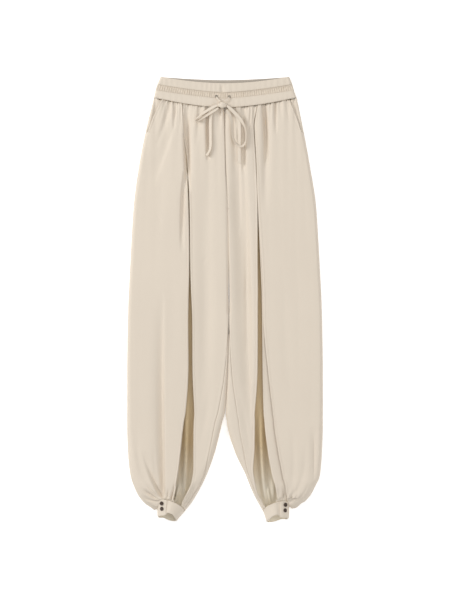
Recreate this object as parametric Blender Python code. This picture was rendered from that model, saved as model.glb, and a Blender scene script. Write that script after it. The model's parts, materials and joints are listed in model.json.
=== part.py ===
# Drawstring trousers with split legs and buttoned cuffs, laid flat, front side up.
# Lengths are in millimetres until a mesh is made. The floor is z = 0, the waist
# points to +Y, and "left" is the side at -X, as the viewer sees it from above.

import math

import bpy
import numpy as np

# Driving sizes

CLOTH_WALL = 1.2
BAND_WALL = 1.8
CUFF_WALL = 2.0
SEAM_GAP = 0.35
LAYER_GAP = 0.4
BACK_RISE = 6.8
SEAM_DIP = 24.2
SEAM_POWER = 1.7
HANG_REACH = {1: 8.0, -1: 3.5}
TIE_THICK = 1.4
BUTTON_RADIUS = 4.8
BUTTON_THICK = 2.4
EYELET_X = (-19.0, 11.3)
EYELET_SIZE = (5.6, 6.0)
SHIRR_WAVES = 26
SHIRR_DEPTH = 0.5
METRE = 0.001

# The sections of each leg, from the waist seam to the cuff's lower edge.
# out and in are the ends of a section in plan: the side fold and, above the
# crotch, the middle of the front, below it the inner leg. side and centre are
# the two edges of the slit, facing is the edge of the strip behind it, seam is
# the inside-leg seam. height is the top of the front cloth, roll the width of
# its rounded edge, lean how far the front is drawn up and the back down, hang the
# pouch beside the cuff, and droop how much of the waist seam's curve it keeps.

SECTION_NAMES = (
    "out_x out_y in_x in_y side centre facing seam "
    "height roll lean_front lean_back hang_x hang_y droop"
).split()

LEFT_SECTIONS = (
    (-166, 475, 1, 451, -98.4, -97.7, -97.7, 1, 13, 7, 0, 0, 0, 0, 1),
    (-183, 406, 1, 406, -96.5, -95.8, -95.8, 1, 15, 8, 0, 0, 0, 0, 0.45),
    (-201, 314, 3, 314, -88.0, -87.3, -87.3, 3, 16, 8.5, 0, 0, 0, 0, 0),
    (-213, 225, 7, 225, -82.9, -82.2, -82.2, 7, 16, 9, 0, 0, 0, 0, 0),
    (-222, 77, 10, 77, -81.0, -80.2, -80.2, 10, 16, 9, 0, 0, 0, 0, 0),
    (-227, -39, 9, -39, -86.0, -76.8, -76.8, 9, 16, 9, 0, 0, 0, 0, 0),
    (-229, -173, 5, -173, -86.0, -76.1, -76.1, -1.6, 17, 10, 0, 0, 0, 0, 0),
    (-229, -285, -6, -285, -96.1, -73.3, -73.3, -23, 20, 12, 0, 0, 0, 0, 0),
    (-227, -354, -21, -354, -102.5, -73.1, -73.1, -35, 24, 16, 0, 0, 0, 0, 0),
    (-221, -412, -41, -410, -109.5, -74.3, -74.3, -47.5, 28, 22, 0, 0, 0, 0, 0),
    (-212, -440, -55, -440, -114.4, -80.6, -80.6, -60, 31, 26, 3, 2, 0, 0, 0),
    (-199, -465, -66, -459, -118.0, -88.1, -88.1, -70.8, 32, 29, 7, 5, 0, 0, 0),
    (-180, -482, -78, -478, -121.0, -95.6, -95.6, -81.1, 33, 31, 13, 9, 0, 0, 0),
    (-166, -482, -88, -490, -122.0, -99.9, -99.9, -90.5, 33, 33, 17, 10.5, 5, -15, 0),
    (-159, -473, -94, -498, -122.2, -103.4, -103.4, -96.6, 32, 34.7, 13, 13, 0, 0, 0),
    (-151, -504, -112, -519, -133.0, -128.0, -128.0, -116, 40, 21, 7.3, 7.3, 0, 0, 0),
)

RIGHT_SECTIONS = (
    (170, 475, 1, 451, 77.1, 76.4, 76.4, 1, 13, 7, 0, 0, 0, 0, 1),
    (184, 406, 1, 406, 69.9, 69.2, 69.2, 1, 15, 8, 0, 0, 0, 0, 0.45),
    (201, 314, 3, 314, 74.8, 74.1, 74.1, 3, 16, 8.5, 0, 0, 0, 0, 0),
    (214, 225, 7, 225, 78.0, 77.3, 77.3, 7, 16, 9, 0, 0, 0, 0, 0),
    (222, 77, 10, 77, 86.9, 77.3, 84.0, 10, 16, 9, 0, 0, 0, 0, 0),
    (227, -39, 12, -39, 91.0, 78.5, 88.4, 12, 16, 9, 0, 0, 0, 0, 0),
    (229, -173, 9, -173, 102.6, 78.2, 89.6, 19, 17, 10, 0, 0, 0, 0, 0),
    (229, -285, 6.5, -285, 115.5, 72.2, 93.6, 34, 20, 12, 0, 0, 0, 0, 0),
    (227, -354, 23, -354, 123.8, 70.0, 100.2, 44.4, 24, 16, 0, 0, 0, 0, 0),
    (222, -412, 49, -410, 134.4, 67.9, 110.5, 56, 28, 22, 0, 0, 0, 0, 0),
    (213, -436, 60, -438, 140.8, 72.9, 117.7, 65.8, 31, 26, 3, 2, 0, 0, 0),
    (200, -462, 72, -464, 145.2, 79.9, 122.5, 76.4, 32, 29, 7, 5, 0, 0, 0),
    (182, -477, 81, -480, 147.3, 87.0, 124.5, 84, 33, 31, 13, 9, 0, 0, 0),
    (168, -477, 87, -491, 148.3, 92.8, 125.0, 89.6, 33, 33, 17, 10.5, -3.5, -14, 0),
    (154, -479, 91, -498, 149.3, 98.5, 125.0, 93.5, 32, 33.4, 13.5, 13.5, 0, 0, 0),
    (145, -508, 99, -522, 130.0, 107.0, 118.0, 104, 40, 24, 6, 6, 0, 0, 0),
)

CROTCH = 5
CUFF_TOP = 14
CUFF_END = 15

# How far the pocket opening stands in from the side fold, along its length.
POCKET_NAMES = "station inset".split()
POCKET = (
    (0.0, 18.5),
    (0.36, 13.5),
    (0.72, 9.5),
    (1.0, 7.0),
    (1.15, 5.0),
)
POCKET_END = 1.152
POCKET_TUCK = 7.0

# The strip behind the open slit: its tuck under the side panel, above and at the cuff.
SLIT_TUCK = 7.0
SLIT_TUCK_LOW = -2.5

# The lines across the waistband: y is centre + dip * |u| ** power.
WAIST_NAMES = "left right centre dip power height".split()
WAIST_LINES = (
    (-150.0, 152.5, 508.7, 15.55, 1.9, 12.0),
    (-158.0, 159.5, 487.0, 19.3, 1.5, 12.0),
    (-162.5, 163.5, 472.5, 19.5, 1.3, 12.5),
    (-166.0, 169.7, 451.1, 24.2, 1.7, 13.0),
)
WAIST_ROLL = 6.5

# Folds of the front: a curve from start through middle to end, its half width,
# which way its steep side faces (+1 is to +X), and the depth at three places.
FOLD_NAMES = "x0 y0 xm ym x1 y1 width steep d0 dm d1".split()
FOLDS = (
    (-128, 471, -137.5, 424, -163, 354, 6, 0, 3.0, 2.2, 0),
    (-116, 469, -116, 441, -115, 403, 4.7, 0, 2.4, 1.4, 0),
    (-87.7, 462, -87.2, 363, -84.4, 286, 8, 0, 1.5, 4.2, 0.8),
    (-60, 462, -61.5, 415, -68, 356, 4.7, 0, 2.6, 1.8, 0),
    (-40, 457, -40, 398, -37.6, 328, 5.2, 0, 2.6, 2.0, 0.4),
    (-13, 455, -13, 431, -14, 398, 4.2, 0, 2.6, 1.5, 0),
    (-99.4, 286, -102, 215, -99.4, 112, 7, 0, 0, 2.6, 0),
    (-145.5, 0, -147.5, -200, -143.6, -457, 9.4, 1, 0.5, 4.2, 4.5),
    (-120, 410, -147, 333, -169, 267, 14, 1, 1.0, 1.8, 0),
    (-39, 316, -48, 0, -50.5, -283, 16.4, 0, 1.2, 2.4, 1.0),
    (-191.5, -358, -169, -419, -143, -464, 7.5, -1, 0, 3.2, 2.4),
    (-191.5, -462, -176, -470, -156, -476, 4.2, 0, 0, 2.2, 1.5),
    (-188, -445, -173, -459, -152, -470, 4.2, 0, 0, 2.6, 1.8),
    (-90.5, -429, -97.5, -457, -109, -478, 3.8, 0, 0, 1.6, 1.2),
    (-67, -429, -76.4, -457, -93, -480, 5.6, 0, 0, 2.4, 1.6),
    (1, 455, 6, 240, 10.5, -30, 3.6, 0, 0.8, 1.2, 3.0),
    (5, 455, 5, 431, 4.5, 403, 4.2, 0, 2.6, 1.4, 0),
    (21, 455, 23.5, 375, 26, 286, 5.2, 0, 2.2, 1.6, 0),
    (46, 462, 47, 434, 49.4, 403, 5.6, 0, 3.4, 2.4, 0),
    (72.6, 460, 70, 398, 74, 300, 4.2, 0, 2.8, 1.6, 0.6),
    (91.7, 467, 97, 375, 94, 199, 8, 0, 2.8, 4.2, 0),
    (118.7, 471, 118.7, 431, 118.7, 380, 5.2, 0, 2.8, 1.8, 0),
    (130, 474, 131.4, 450, 133.7, 424, 4.7, 0, 2.4, 1.4, 0),
    (27, 257, 40, 69, 44.6, -236, 16.4, 0, 1.0, 3.2, 0.4),
    (209.4, -295, 211, -365, 207.5, -438, 8, 0, 0, 2.2, 0.6),
    (168, -445, 160, -457, 153, -469, 4.2, 0, 0, 2.0, 1.6),
    (177.4, -464, 168, -470, 157.5, -473, 4.2, 0, 0, 2.0, 1.4),
    (64.6, -410, 75, -445, 88, -478, 6, 0, 0, 2.6, 1.8),
)

# Folds of the back that lift it off the floor, as seen through the slits.
BACK_FOLDS = (
    (-92, -200, -93, -360, -96, -462, 8, 0, 0, -6.0, -4.0),
    (-106, -420, -108, -450, -112, -476, 5, 0, 0, -4.0, -2.0),
    (84, -150, 88, -350, 96, -462, 9, 0, 0, -6.0, -5.0),
    (112, -420, 114, -448, 112, -476, 5, 0, 0, -4.0, -2.0),
)

# The flat ties: points of each route, with the turn of the strip about its
# length in degrees (0 lies flat, 90 stands on edge).
TIE_NAMES = "x y z turn".split()
TIE_WIDTH = 7.4
TIES = {
    "tie_loop_left": (
        (-16.1, 456.2, 21.2, 10),
        (-30.5, 449.5, 21.0, 20),
        (-48.0, 438.5, 20.0, 35),
        (-62.5, 427.5, 20.0, 65),
        (-68.5, 421.0, 20.0, 90),
        (-62.5, 419.5, 20.0, 118),
        (-50.0, 427.5, 19.6, 150),
        (-37.5, 435.5, 19.4, 160),
        (-24.5, 443.6, 19.8, 168),
        (-14.5, 449.5, 20.0, 172),
    ),
    "tie_tail_left": (
        (-16.5, 447.0, 16.6, 0),
        (-23.5, 443.0, 16.4, 5),
        (-30.0, 436.0, 16.6, 10),
        (-32.8, 424.0, 17.2, 20),
        (-33.0, 405.0, 17.6, 30),
        (-32.8, 385.0, 18.3, 35),
        (-32.6, 363.0, 18.8, 40),
        (-35.5, 348.5, 18.8, 45),
        (-42.6, 338.0, 19.2, 50),
    ),
    "tie_loop_right": (
        (6.0, 454.5, 22.0, 5),
        (15.0, 447.0, 22.0, 5),
        (27.5, 434.5, 21.5, 10),
        (39.0, 420.5, 20.5, 30),
        (48.0, 403.0, 20.0, 60),
        (51.0, 384.5, 20.0, 75),
        (48.0, 367.5, 20.6, 60),
        (40.0, 359.5, 21.8, 45),
        (28.5, 364.5, 20.8, 50),
        (20.5, 379.5, 20.0, 55),
        (18.0, 398.0, 19.4, 45),
        (16.5, 416.5, 19.4, 30),
        (12.0, 433.0, 19.4, 20),
        (4.5, 444.0, 19.6, 10),
    ),
    "tie_tail_right": (
        (9.5, 449.0, 16.2, 0),
        (20.0, 441.5, 16.2, 0),
        (29.0, 430.5, 16.4, 5),
        (33.8, 416.0, 16.8, 10),
        (35.0, 396.0, 17.0, 15),
        (34.8, 372.0, 17.0, 10),
        (34.6, 348.0, 17.0, 10),
        (35.0, 320.5, 17.0, 5),
    ),
    "tie_lead_left": (
        (-19.0, 477.4, 8.0, 0),
        (-18.9, 476.6, 12.6, 0),
        (-17.6, 473.2, 16.8, 0),
        (-14.0, 468.6, 18.6, 0),
        (-10.0, 465.4, 19.4, 0),
    ),
    "tie_lead_right": (
        (11.2, 477.4, 8.0, 0),
        (11.0, 476.6, 12.6, 0),
        (9.4, 473.2, 16.8, 0),
        (4.6, 468.0, 18.6, 0),
        (-0.5, 465.4, 19.4, 0),
    ),
}
KNOT_CENTRE = (-5.5, 456.5, 20.0)
KNOT_HALF = (10.0, 7.2, 4.6)

BUTTONS = {
    "button_left_upper": ("left", 14.41, 0.12),
    "button_left_lower": ("left", 14.71, 0.115),
    "button_right_upper": ("right", 14.35, 0.11),
    "button_right_lower": ("right", 14.68, 0.10),
}

CREAM = (0.745, 0.655, 0.545, 1.0)
BUTTON_BROWN = (0.030, 0.018, 0.012, 1.0)


# Tables and curves


def columns(names, table):
    """The table's rows as one array for each named column."""
    return dict(zip(names, np.array(table, float).T))


def ease(knots, values, at):
    """Monotone cubic through the points (knots, values), read at the places at."""
    step = np.diff(knots)
    rate = np.diff(values) / step
    slope = np.empty(len(knots))
    slope[0] = rate[0]
    slope[-1] = rate[-1]
    total = rate[:-1] + rate[1:]
    same = rate[:-1] * rate[1:] > 0
    slope[1:-1] = np.where(
        same, 2 * rate[:-1] * rate[1:] / np.where(total == 0, 1, total), 0
    )
    k = np.clip(np.searchsorted(knots, at, side="right") - 1, 0, len(step) - 1)
    t = (at - knots[k]) / step[k]
    bend_in = (2 * t**3 - 3 * t**2 + 1) * values[k] + (t**3 - 2 * t**2 + t) * (
        slope[k] * step[k]
    )
    bend_out = (3 * t**2 - 2 * t**3) * values[k + 1] + (t**3 - t**2) * (
        slope[k + 1] * step[k]
    )
    return bend_in + bend_out


def fold_depth(table, x, y):
    """Sum over the folds of depth(t) * exp(-(d / width)**2), d being the
    distance from the fold's curve and t the place along it."""
    total = np.zeros(np.shape(x))
    along = np.linspace(0, 1, 15)
    for x0, y0, xm, ym, x1, y1, width, steep, d0, dm, d1 in table:
        cx = 2 * xm - (x0 + x1) / 2
        cy = 2 * ym - (y0 + y1) / 2
        px = (1 - along) ** 2 * x0 + 2 * along * (1 - along) * cx + along**2 * x1
        py = (1 - along) ** 2 * y0 + 2 * along * (1 - along) * cy + along**2 * y1
        sx = np.diff(px)
        sy = np.diff(py)
        rx = x[..., None] - px[:-1]
        ry = y[..., None] - py[:-1]
        t = np.clip((rx * sx + ry * sy) / (sx**2 + sy**2), 0, 1)
        ex = rx - t * sx
        ey = ry - t * sy
        gap = ex**2 + ey**2
        near = gap.argmin(-1)
        pick = lambda a: np.take_along_axis(a, near[..., None], -1)[..., 0]
        place = (near + pick(t)) / (len(along) - 1)
        spread = width * (1 - 0.55 * steep * np.sign(pick(ex)))
        depth = (
            d0 * (1 - place) * (1 - 2 * place)
            + 4 * dm * place * (1 - place)
            + d1 * place * (2 * place - 1)
        )
        total += depth * np.exp(-pick(gap) / spread**2)
    return total


# The two faces of a leg


def rolled(e, width):
    """Height share of a rounded edge: a quarter ellipse, e in from the edge."""
    return np.sqrt(np.clip(1 - (1 - np.clip(e / width, 0, 1)) ** 2, 0, 1))


class Leg:
    """One leg with its half of the hips: a closed section at each station."""

    def __init__(self, table):
        self.c = columns(SECTION_NAMES, table)
        self.stations = np.arange(len(table), dtype=float)
        span = self.c["in_x"] - self.c["out_x"]
        for edge in ("side", "centre", "facing", "seam"):
            self.c[edge] = (self.c[edge] - self.c["out_x"]) / span
        pocket = columns(POCKET_NAMES, POCKET)
        self.pocket_at = pocket["station"]
        self.pocket_inset = pocket["inset"]

    def at(self, name, v):
        return ease(self.stations, self.c[name], v)

    def span(self, v):
        across = self.at("in_x", v) - self.at("out_x", v)
        along = self.at("in_y", v) - self.at("out_y", v)
        return np.hypot(across, along)

    def share(self, edge, v):
        """Where an edge lies across the section: 0 at the side, 1 inside."""
        if edge == "out":
            return np.zeros(np.shape(v))
        if edge == "in":
            return 1 - 0.5 * SEAM_GAP / self.span(v)
        if edge == "pocket":
            inset = ease(self.pocket_at, self.pocket_inset, np.clip(v, 0, 1.15))
            return inset / self.span(v)
        return self.at(edge, v)

    def point(self, v, f, face):
        """Point of the front (face = 1) or back (face = -1), f across it.

        x, y run from out to in, drawn by lean * roll across the section; z
        rises over the rounded edges from mid height to the top, less the folds.
        """
        v, f = np.broadcast_arrays(np.asarray(v, float), np.asarray(f, float))
        v = np.clip(v, 0, CUFF_END)
        f = np.clip(f, 0, 1)
        ox, oy = self.at("out_x", v), self.at("out_y", v)
        ix, iy = self.at("in_x", v), self.at("in_y", v)
        span = np.hypot(ix - ox, iy - oy)
        e_out = f * span
        e_in = (1 - f) * span
        roll = self.at("roll", v)
        roll_in = np.minimum(roll, 0.5 * span)
        parted = np.clip((v - 4.55) / 0.75, 0, 1)
        parted = parted * parted * (3 - 2 * parted)
        outer = rolled(e_out, roll)
        inner = 1 - parted * (1 - rolled(e_in, roll_in))
        rise = np.minimum(outer, inner)
        lean = self.at("lean_front" if face > 0 else "lean_back", v)
        lean = face * lean * rise
        side = np.sign(ix - ox)
        up_x = -side * (iy - oy) / span
        up_y = side * (ix - ox) / span
        pouch = np.exp(-((e_out / HANG_REACH[face]) ** 2))
        x = ox + f * (ix - ox) + lean * up_x + pouch * self.at("hang_x", v)
        y = oy + f * (iy - oy) + lean * up_y + pouch * self.at("hang_y", v)
        droop = self.at("droop", v)
        y = y + droop * SEAM_DIP * ((1 - f) ** SEAM_POWER - (1 - f))
        height = self.at("height", v)
        middle = 0.5 * height
        if face < 0:
            y = y + droop * BACK_RISE * (1 - (1 - f) ** 2)
            lift = fold_depth(BACK_FOLDS, x, y)
            z = (middle - 0.5 * SEAM_GAP) * (1 - rise) - lift * rise
        else:
            low = middle + 0.5 * SEAM_GAP
            z = low + (height - low) * rise
            z = z - fold_depth(FOLDS, x, y) * rise * (v < CUFF_TOP)
        return np.stack([x, y, z], -1)

    def normal(self, v, f, face):
        """Outward normal, from differences of point over small steps."""
        dv = 0.004
        df = 0.0015
        along = self.point(v + dv, f, face) - self.point(v - dv, f, face)
        across = self.point(v, f + df, face) - self.point(v, f - df, face)
        n = np.cross(across, along)
        n /= np.linalg.norm(n, axis=-1, keepdims=True)
        n = n * np.where(n[..., 2:] * face < 0, -1, 1)
        fold = np.broadcast_to(np.asarray(f) < 1e-9, n.shape[:-1])
        n[fold, 2] = 0.0
        return n / np.linalg.norm(n, axis=-1, keepdims=True)


# Closed cloth


def cloth(name, outer, normals, wall, keep=None):
    """A wall of cloth as one closed mesh: the outer grid, the same grid moved
    in along its normals, and a rim wherever a kept cell has no neighbour."""
    rows, cols = outer.shape[:2]
    inner = outer - wall * normals
    points = np.concatenate([outer.reshape(-1, 3), inner.reshape(-1, 3)])
    index = np.arange(rows * cols).reshape(rows, cols)
    if keep is None:
        keep = np.ones((index.shape[0] - 1, index.shape[1] - 1), bool)
    a = index[:-1, :-1][keep]
    b = index[:-1, 1:][keep]
    c = index[1:, 1:][keep]
    d = index[1:, :-1][keep]
    shift = rows * cols
    across = outer.reshape(-1, 3)[b] - outer.reshape(-1, 3)[a]
    along = outer.reshape(-1, 3)[d] - outer.reshape(-1, 3)[a]
    facing = (np.cross(across, along) * normals.reshape(-1, 3)[a]).sum()
    if facing < 0:
        b, d = d, b
    edges = np.concatenate(
        [np.stack(pair, 1) for pair in ((a, b), (b, c), (c, d), (d, a))]
    )
    low = edges.min(1).astype(np.int64)
    high = edges.max(1)
    key = low * shift + high
    _, first, count = np.unique(key, return_index=True, return_counts=True)
    rim = edges[first[count == 1]]
    faces = np.concatenate(
        [
            np.stack([a, b, c, d], 1),
            np.stack([d, c, b, a], 1) + shift,
            np.stack(
                [rim[:, 1], rim[:, 0], rim[:, 0] + shift, rim[:, 1] + shift], 1
            ),
        ]
    )
    used, faces = np.unique(faces, return_inverse=True)
    return solid(name, points[used], faces.reshape(-1, 4))


def solid(name, points, faces):
    mesh = bpy.data.meshes.new(name)
    mesh.from_pydata((points * METRE).tolist(), [], faces.tolist())
    mesh.validate()
    mesh.shade_smooth()
    made = bpy.data.objects.new(name, mesh)
    bpy.context.scene.collection.objects.link(made)
    return made


def panel(name, leg, face, stations, shares, wall=CLOTH_WALL, sink=0.0, keep=None):
    """A cut piece of a leg: shares holds one row of places for each station."""
    v = np.repeat(stations[:, None], shares.shape[1], 1)
    outer = leg.point(v, shares, face)
    n = leg.normal(v, shares, face)
    sink = np.broadcast_to(sink, v.shape)[..., None]
    return cloth(name, outer - sink * n, n, wall, keep)


# The pieces of a leg

HIP_ROWS = np.array([0, 0.3, 0.65, 1.0, 1.15, 1.155, 1.6, 2.0, 2.5, 3.0, 3.6, 4.3])
LEG_ROWS = np.array([5.0, 5.35, 5.7, 6.1, 6.5, 7, 7.5, 8, 8.5, 9, 9.6, 10.3])
CUFF_ROWS = np.array([11, 11.7, 12.4, 13, 13.5, 13.95])
ROWS = np.concatenate([HIP_ROWS, LEG_ROWS, CUFF_ROWS])
EDGE_ANGLES = np.radians([0, 24, 50, 90])


def edge_places(leg, v, start, width):
    """Distances in from start that follow the rounded edge's angles."""
    return start + width[:, None] * (1 - np.cos(EDGE_ANGLES))


def side_panel(side, leg):
    """Front outer panel: from the pocket or side fold to the slit."""
    rows = ROWS
    span = leg.span(rows)
    start = np.where(rows < POCKET_END, leg.share("pocket", rows), 0)
    lead = edge_places(leg, rows, (start * span)[:, None], leg.at("roll", rows))
    stop = leg.share("side", rows) * span
    lead = np.minimum(lead, stop[:, None] * [0.1, 0.16, 0.3, 0.5])
    lead[:, 0] = start * span
    lead = np.maximum.accumulate(lead + [0, 0.4, 0.8, 1.2], 1)
    rest = lead[:, -1:] + (stop[:, None] - lead[:, -1:]) * np.linspace(0, 1, 9)[1:]
    shares = np.concatenate([lead, rest], 1) / span[:, None]
    return panel(f"front_side_{side}", leg, 1, rows, shares)


def centre_panel(side, leg):
    """Front inner panel: from the slit to the middle seam and inside leg."""
    rows = ROWS
    span = leg.span(rows)
    start = leg.share("centre", rows) * span
    above = leg.share("in", rows) * span
    below = leg.share("seam", rows) * span - 0.5 * SEAM_GAP
    stop = np.where(rows < CROTCH, above, np.minimum(below, above))
    ease_in = 1 - (1 - np.linspace(0, 1, 10)) ** 1.3
    shares = start[:, None] + (stop - start)[:, None] * ease_in
    return panel(f"front_centre_{side}", leg, 1, rows, shares / span[:, None])


def back_panel(side, leg):
    """Back piece: side fold, floor, inside leg, and up to the inside-leg seam."""
    rows = ROWS
    span = leg.span(rows)
    roll = leg.at("roll", rows)
    outer = edge_places(leg, rows, 0.0, roll)
    roll_in = np.minimum(roll, 0.5 * span)[:, None]
    inner = span[:, None] - roll_in * (1 - np.cos(EDGE_ANGLES[::-1]))
    inner[:, -1] = leg.share("in", rows) * span
    slit = [leg.share(edge, rows)[:, None] * span[:, None] for edge in ("side", "centre")]
    slit = slit[0] - 6 + (slit[1] - slit[0] + 12) * np.linspace(0, 1, 7)
    out_side = outer[:, -1:] + (slit[:, :1] - outer[:, -1:]) * np.array([0.35, 0.7])
    in_side = slit[:, -1:] + (inner[:, :1] - slit[:, -1:]) * np.array([0.3, 0.65])
    middle = np.concatenate([out_side, slit, in_side], 1)
    under = np.sort(np.concatenate([outer, middle, inner], 1) / span[:, None], 1)
    under = 0.9 * np.clip(under, 0, 1) + 0.1 * np.linspace(0, 1, under.shape[1])
    under = np.minimum(under, leg.share("in", rows)[:, None])
    reach = (1 - leg.share("seam", rows)) * span - 0.5 * SEAM_GAP
    reach = np.maximum(reach, 1.0)
    bend = 1 - np.cos(np.radians([0, 25, 50, 72, 90]))
    over = 1 - reach[:, None] * bend / span[:, None]
    over = np.minimum(over, leg.share("in", rows)[:, None])
    v_under = np.repeat(rows[:, None], under.shape[1], 1)
    v_over = np.repeat(rows[:, None], over.shape[1], 1)
    outer_points = np.concatenate(
        [leg.point(v_under, under, -1), leg.point(v_over, over, 1)], 1
    )
    normals = np.concatenate(
        [leg.normal(v_under, under, -1), leg.normal(v_over, over, 1)], 1
    )
    keep = np.ones((len(rows) - 1, outer_points.shape[1] - 1), bool)
    keep[rows[:-1] < CROTCH + 0.3, under.shape[1] - 1 :] = False
    return cloth(f"back_{side}", outer_points, normals, CLOTH_WALL, keep)


def pocket_facing(side, leg):
    """Hip piece seen in the pocket opening, tucked under the side panel."""
    rows = np.array([0, 0.22, 0.43, 0.65, 0.83, 1.0, 1.144])
    span = leg.span(rows)
    inset = leg.share("pocket", rows) * span
    stop = (inset + POCKET_TUCK)[:, None]
    t = np.array([0, 0.06, 0.18, 0.36, 0.6, 0.8, 1.0])
    place = stop * t
    under = np.clip(place / np.maximum(inset[:, None] - 0.6, 0.5), 0, 1)
    sink = (CLOTH_WALL + LAYER_GAP) * under**2 * (3 - 2 * under)
    shares = place / span[:, None]
    return panel(f"pocket_facing_{side}", leg, 1, rows, shares, CLOTH_WALL, sink)


def slit_facing(side, leg):
    """Strip behind the open slit, tucked under the side panel's edge."""
    rows = ROWS[ROWS >= 4.0]
    span = leg.span(rows)
    stop = leg.share("facing", rows) * span
    edge = leg.share("side", rows) * span
    start = edge - np.interp(rows, [10.0, 12.0], [SLIT_TUCK, SLIT_TUCK_LOW])
    t = np.linspace(0, 1, 5)
    shares = (start[:, None] + (stop - start)[:, None] * t) / span[:, None]
    sink = CLOTH_WALL + LAYER_GAP
    return panel(f"slit_facing_{side}", leg, 1, rows, shares, CLOTH_WALL, sink)


def cuff(side, leg):
    """Buttoned cuff: a strip from under the tab, round the ankle, and over."""
    front = np.linspace(0.16, 0.985, 15)
    back = np.linspace(0.985, 0.015, 17)
    tab = np.linspace(0.0, 0.30, 8)
    around = np.concatenate([front, [1.0], back, tab])
    face = np.concatenate([np.ones(15), [1], -np.ones(17), np.ones(8)])
    sunk = np.clip((0.52 - front) / 0.2, 0, 1)
    lift = np.concatenate([-sunk, np.zeros(len(around) - len(front))])
    lift = lift * (CUFF_WALL + LAYER_GAP)
    rows = np.linspace(CUFF_TOP + 0.01, CUFF_END, 5)
    v = np.repeat(rows[:, None], len(around), 1)
    f = np.repeat(around[None], len(rows), 0)
    top = face > 0
    outer = np.empty(v.shape + (3,))
    n = np.empty_like(outer)
    outer[:, top] = leg.point(v[:, top], f[:, top], 1)
    outer[:, ~top] = leg.point(v[:, ~top], f[:, ~top], -1)
    n[:, top] = leg.normal(v[:, top], f[:, top], 1)
    n[:, ~top] = leg.normal(v[:, ~top], f[:, ~top], -1)
    outer = outer + lift[None, :, None] * n
    return cloth(f"cuff_{side}", outer, n, CUFF_WALL)


# The waistband


class Waist:
    """The bands across the waist, as lines from one side fold to the other."""

    def __init__(self):
        self.c = columns(WAIST_NAMES, WAIST_LINES)
        self.lines = np.arange(len(WAIST_LINES), dtype=float)

    def at(self, name, w):
        return ease(self.lines, self.c[name], w)

    def point(self, w, u, face, bulge):
        """w runs down the lines, u from -1 to 1 across; y = c + dip |u|**p."""
        w, u = np.broadcast_arrays(np.asarray(w, float), np.asarray(u, float))
        u = np.clip(u, -1, 1)
        left, right = self.at("left", w), self.at("right", w)
        x = 0.5 * (left + right) + 0.5 * (right - left) * u
        y = self.at("centre", w) + self.at("dip", w) * np.abs(u) ** self.at("power", w)
        e = (1 - np.abs(u)) * 0.5 * (right - left)
        rise = rolled(e, WAIST_ROLL)
        height = self.at("height", w)
        middle = 0.5 * height
        band = np.clip(w - np.floor(np.clip(w, 0, 2.9999)), 0, 1)
        puff = np.sqrt(np.clip(np.sin(np.pi * band), 0, 1))
        if face < 0:
            y = y + BACK_RISE * (1 - u**2)
            z = (middle - 0.5 * SEAM_GAP) * (1 - rise)
        else:
            low = middle + 0.5 * SEAM_GAP
            shirred = (w > 1) & (w < 2)
            wave = SHIRR_DEPTH * np.cos(np.pi * SHIRR_WAVES / 0.95 * u) * shirred * puff
            z = low + (height + bulge * puff + wave - low) * rise
        return np.stack([x, y, z], -1)

    def normal(self, w, u, face, bulge):
        du = 0.002
        dw = 0.002
        across = self.point(w, u + du, face, bulge) - self.point(w, u - du, face, bulge)
        along = self.point(w + dw, u, face, bulge) - self.point(w - dw, u, face, bulge)
        n = np.cross(across, along)
        n /= np.linalg.norm(n, axis=-1, keepdims=True)
        n = n * np.where(n[..., 2:] * face < 0, -1, 1)
        n[np.abs(u) > 1 - 1e-9, 2] = 0.0
        return n / np.linalg.norm(n, axis=-1, keepdims=True)


def across_waist(count, extra=()):
    """Places from -1 to 1, close together at the rounded side folds."""
    edge = np.array([0, 0.004, 0.015, 0.032])
    middle = np.linspace(-1 + 0.045, 1 - 0.045, count)
    return np.unique(np.concatenate([-1 + edge, middle, 1 - edge, extra]))


def waist_strip(name, waist, line, face, places, bulge, rows=4, wall=BAND_WALL, hole=None):
    """One strip between two lines, with holes where the drawstring comes out."""
    gap = 0.5 * SEAM_GAP / 15.0
    down = np.linspace(line + gap, line + 1 - gap, rows)
    if hole is not None:
        down = np.array([line + gap, line + 0.52, line + 0.93, line + 1 - gap])
    w = np.repeat(down[:, None], len(places), 1)
    u = np.repeat(places[None], len(down), 0)
    outer = waist.point(w, u, face, bulge)
    n = waist.normal(w, u, face, 0.0)
    keep = np.ones((len(down) - 1, len(places) - 1), bool)
    if hole is not None:
        mid = 0.5 * (outer[1, :-1, 0] + outer[1, 1:, 0])
        for centre in EYELET_X:
            keep[1, np.abs(mid - centre) < 0.5 * EYELET_SIZE[0]] = False
    return cloth(name, outer, n, wall, keep)


def waistband():
    waist = Waist()
    plain = across_waist(23)
    ribs = np.linspace(-0.95, 0.95, 3 * SHIRR_WAVES)
    half = 162.0
    beside = [
        (centre + way * 0.5 * EYELET_SIZE[0] - 0.6) / half
        for centre in EYELET_X
        for way in (-1, 1)
    ]
    clear = [r for r in ribs if min(abs(r - b) for b in beside) > 0.009]
    clear = [r for r in clear if all(abs(r * half - c) > 4.0 for c in EYELET_X)]
    holed = across_waist(2, np.array(beside + clear))
    waist_strip("band_top_front", waist, 0, 1, plain, 1.0)
    waist_strip("band_shirred_front", waist, 1, 1, holed, -2.0, hole=True)
    waist_strip("band_tunnel_front", waist, 2, 1, plain, 1.4)
    waist_strip("band_top_back", waist, 0, -1, plain, 0.0, rows=3)
    waist_strip("band_shirred_back", waist, 1, -1, plain, 0.0, rows=2)
    waist_strip("band_tunnel_back", waist, 2, -1, plain, 0.0, rows=3)


# Ties, knot and buttons


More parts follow.
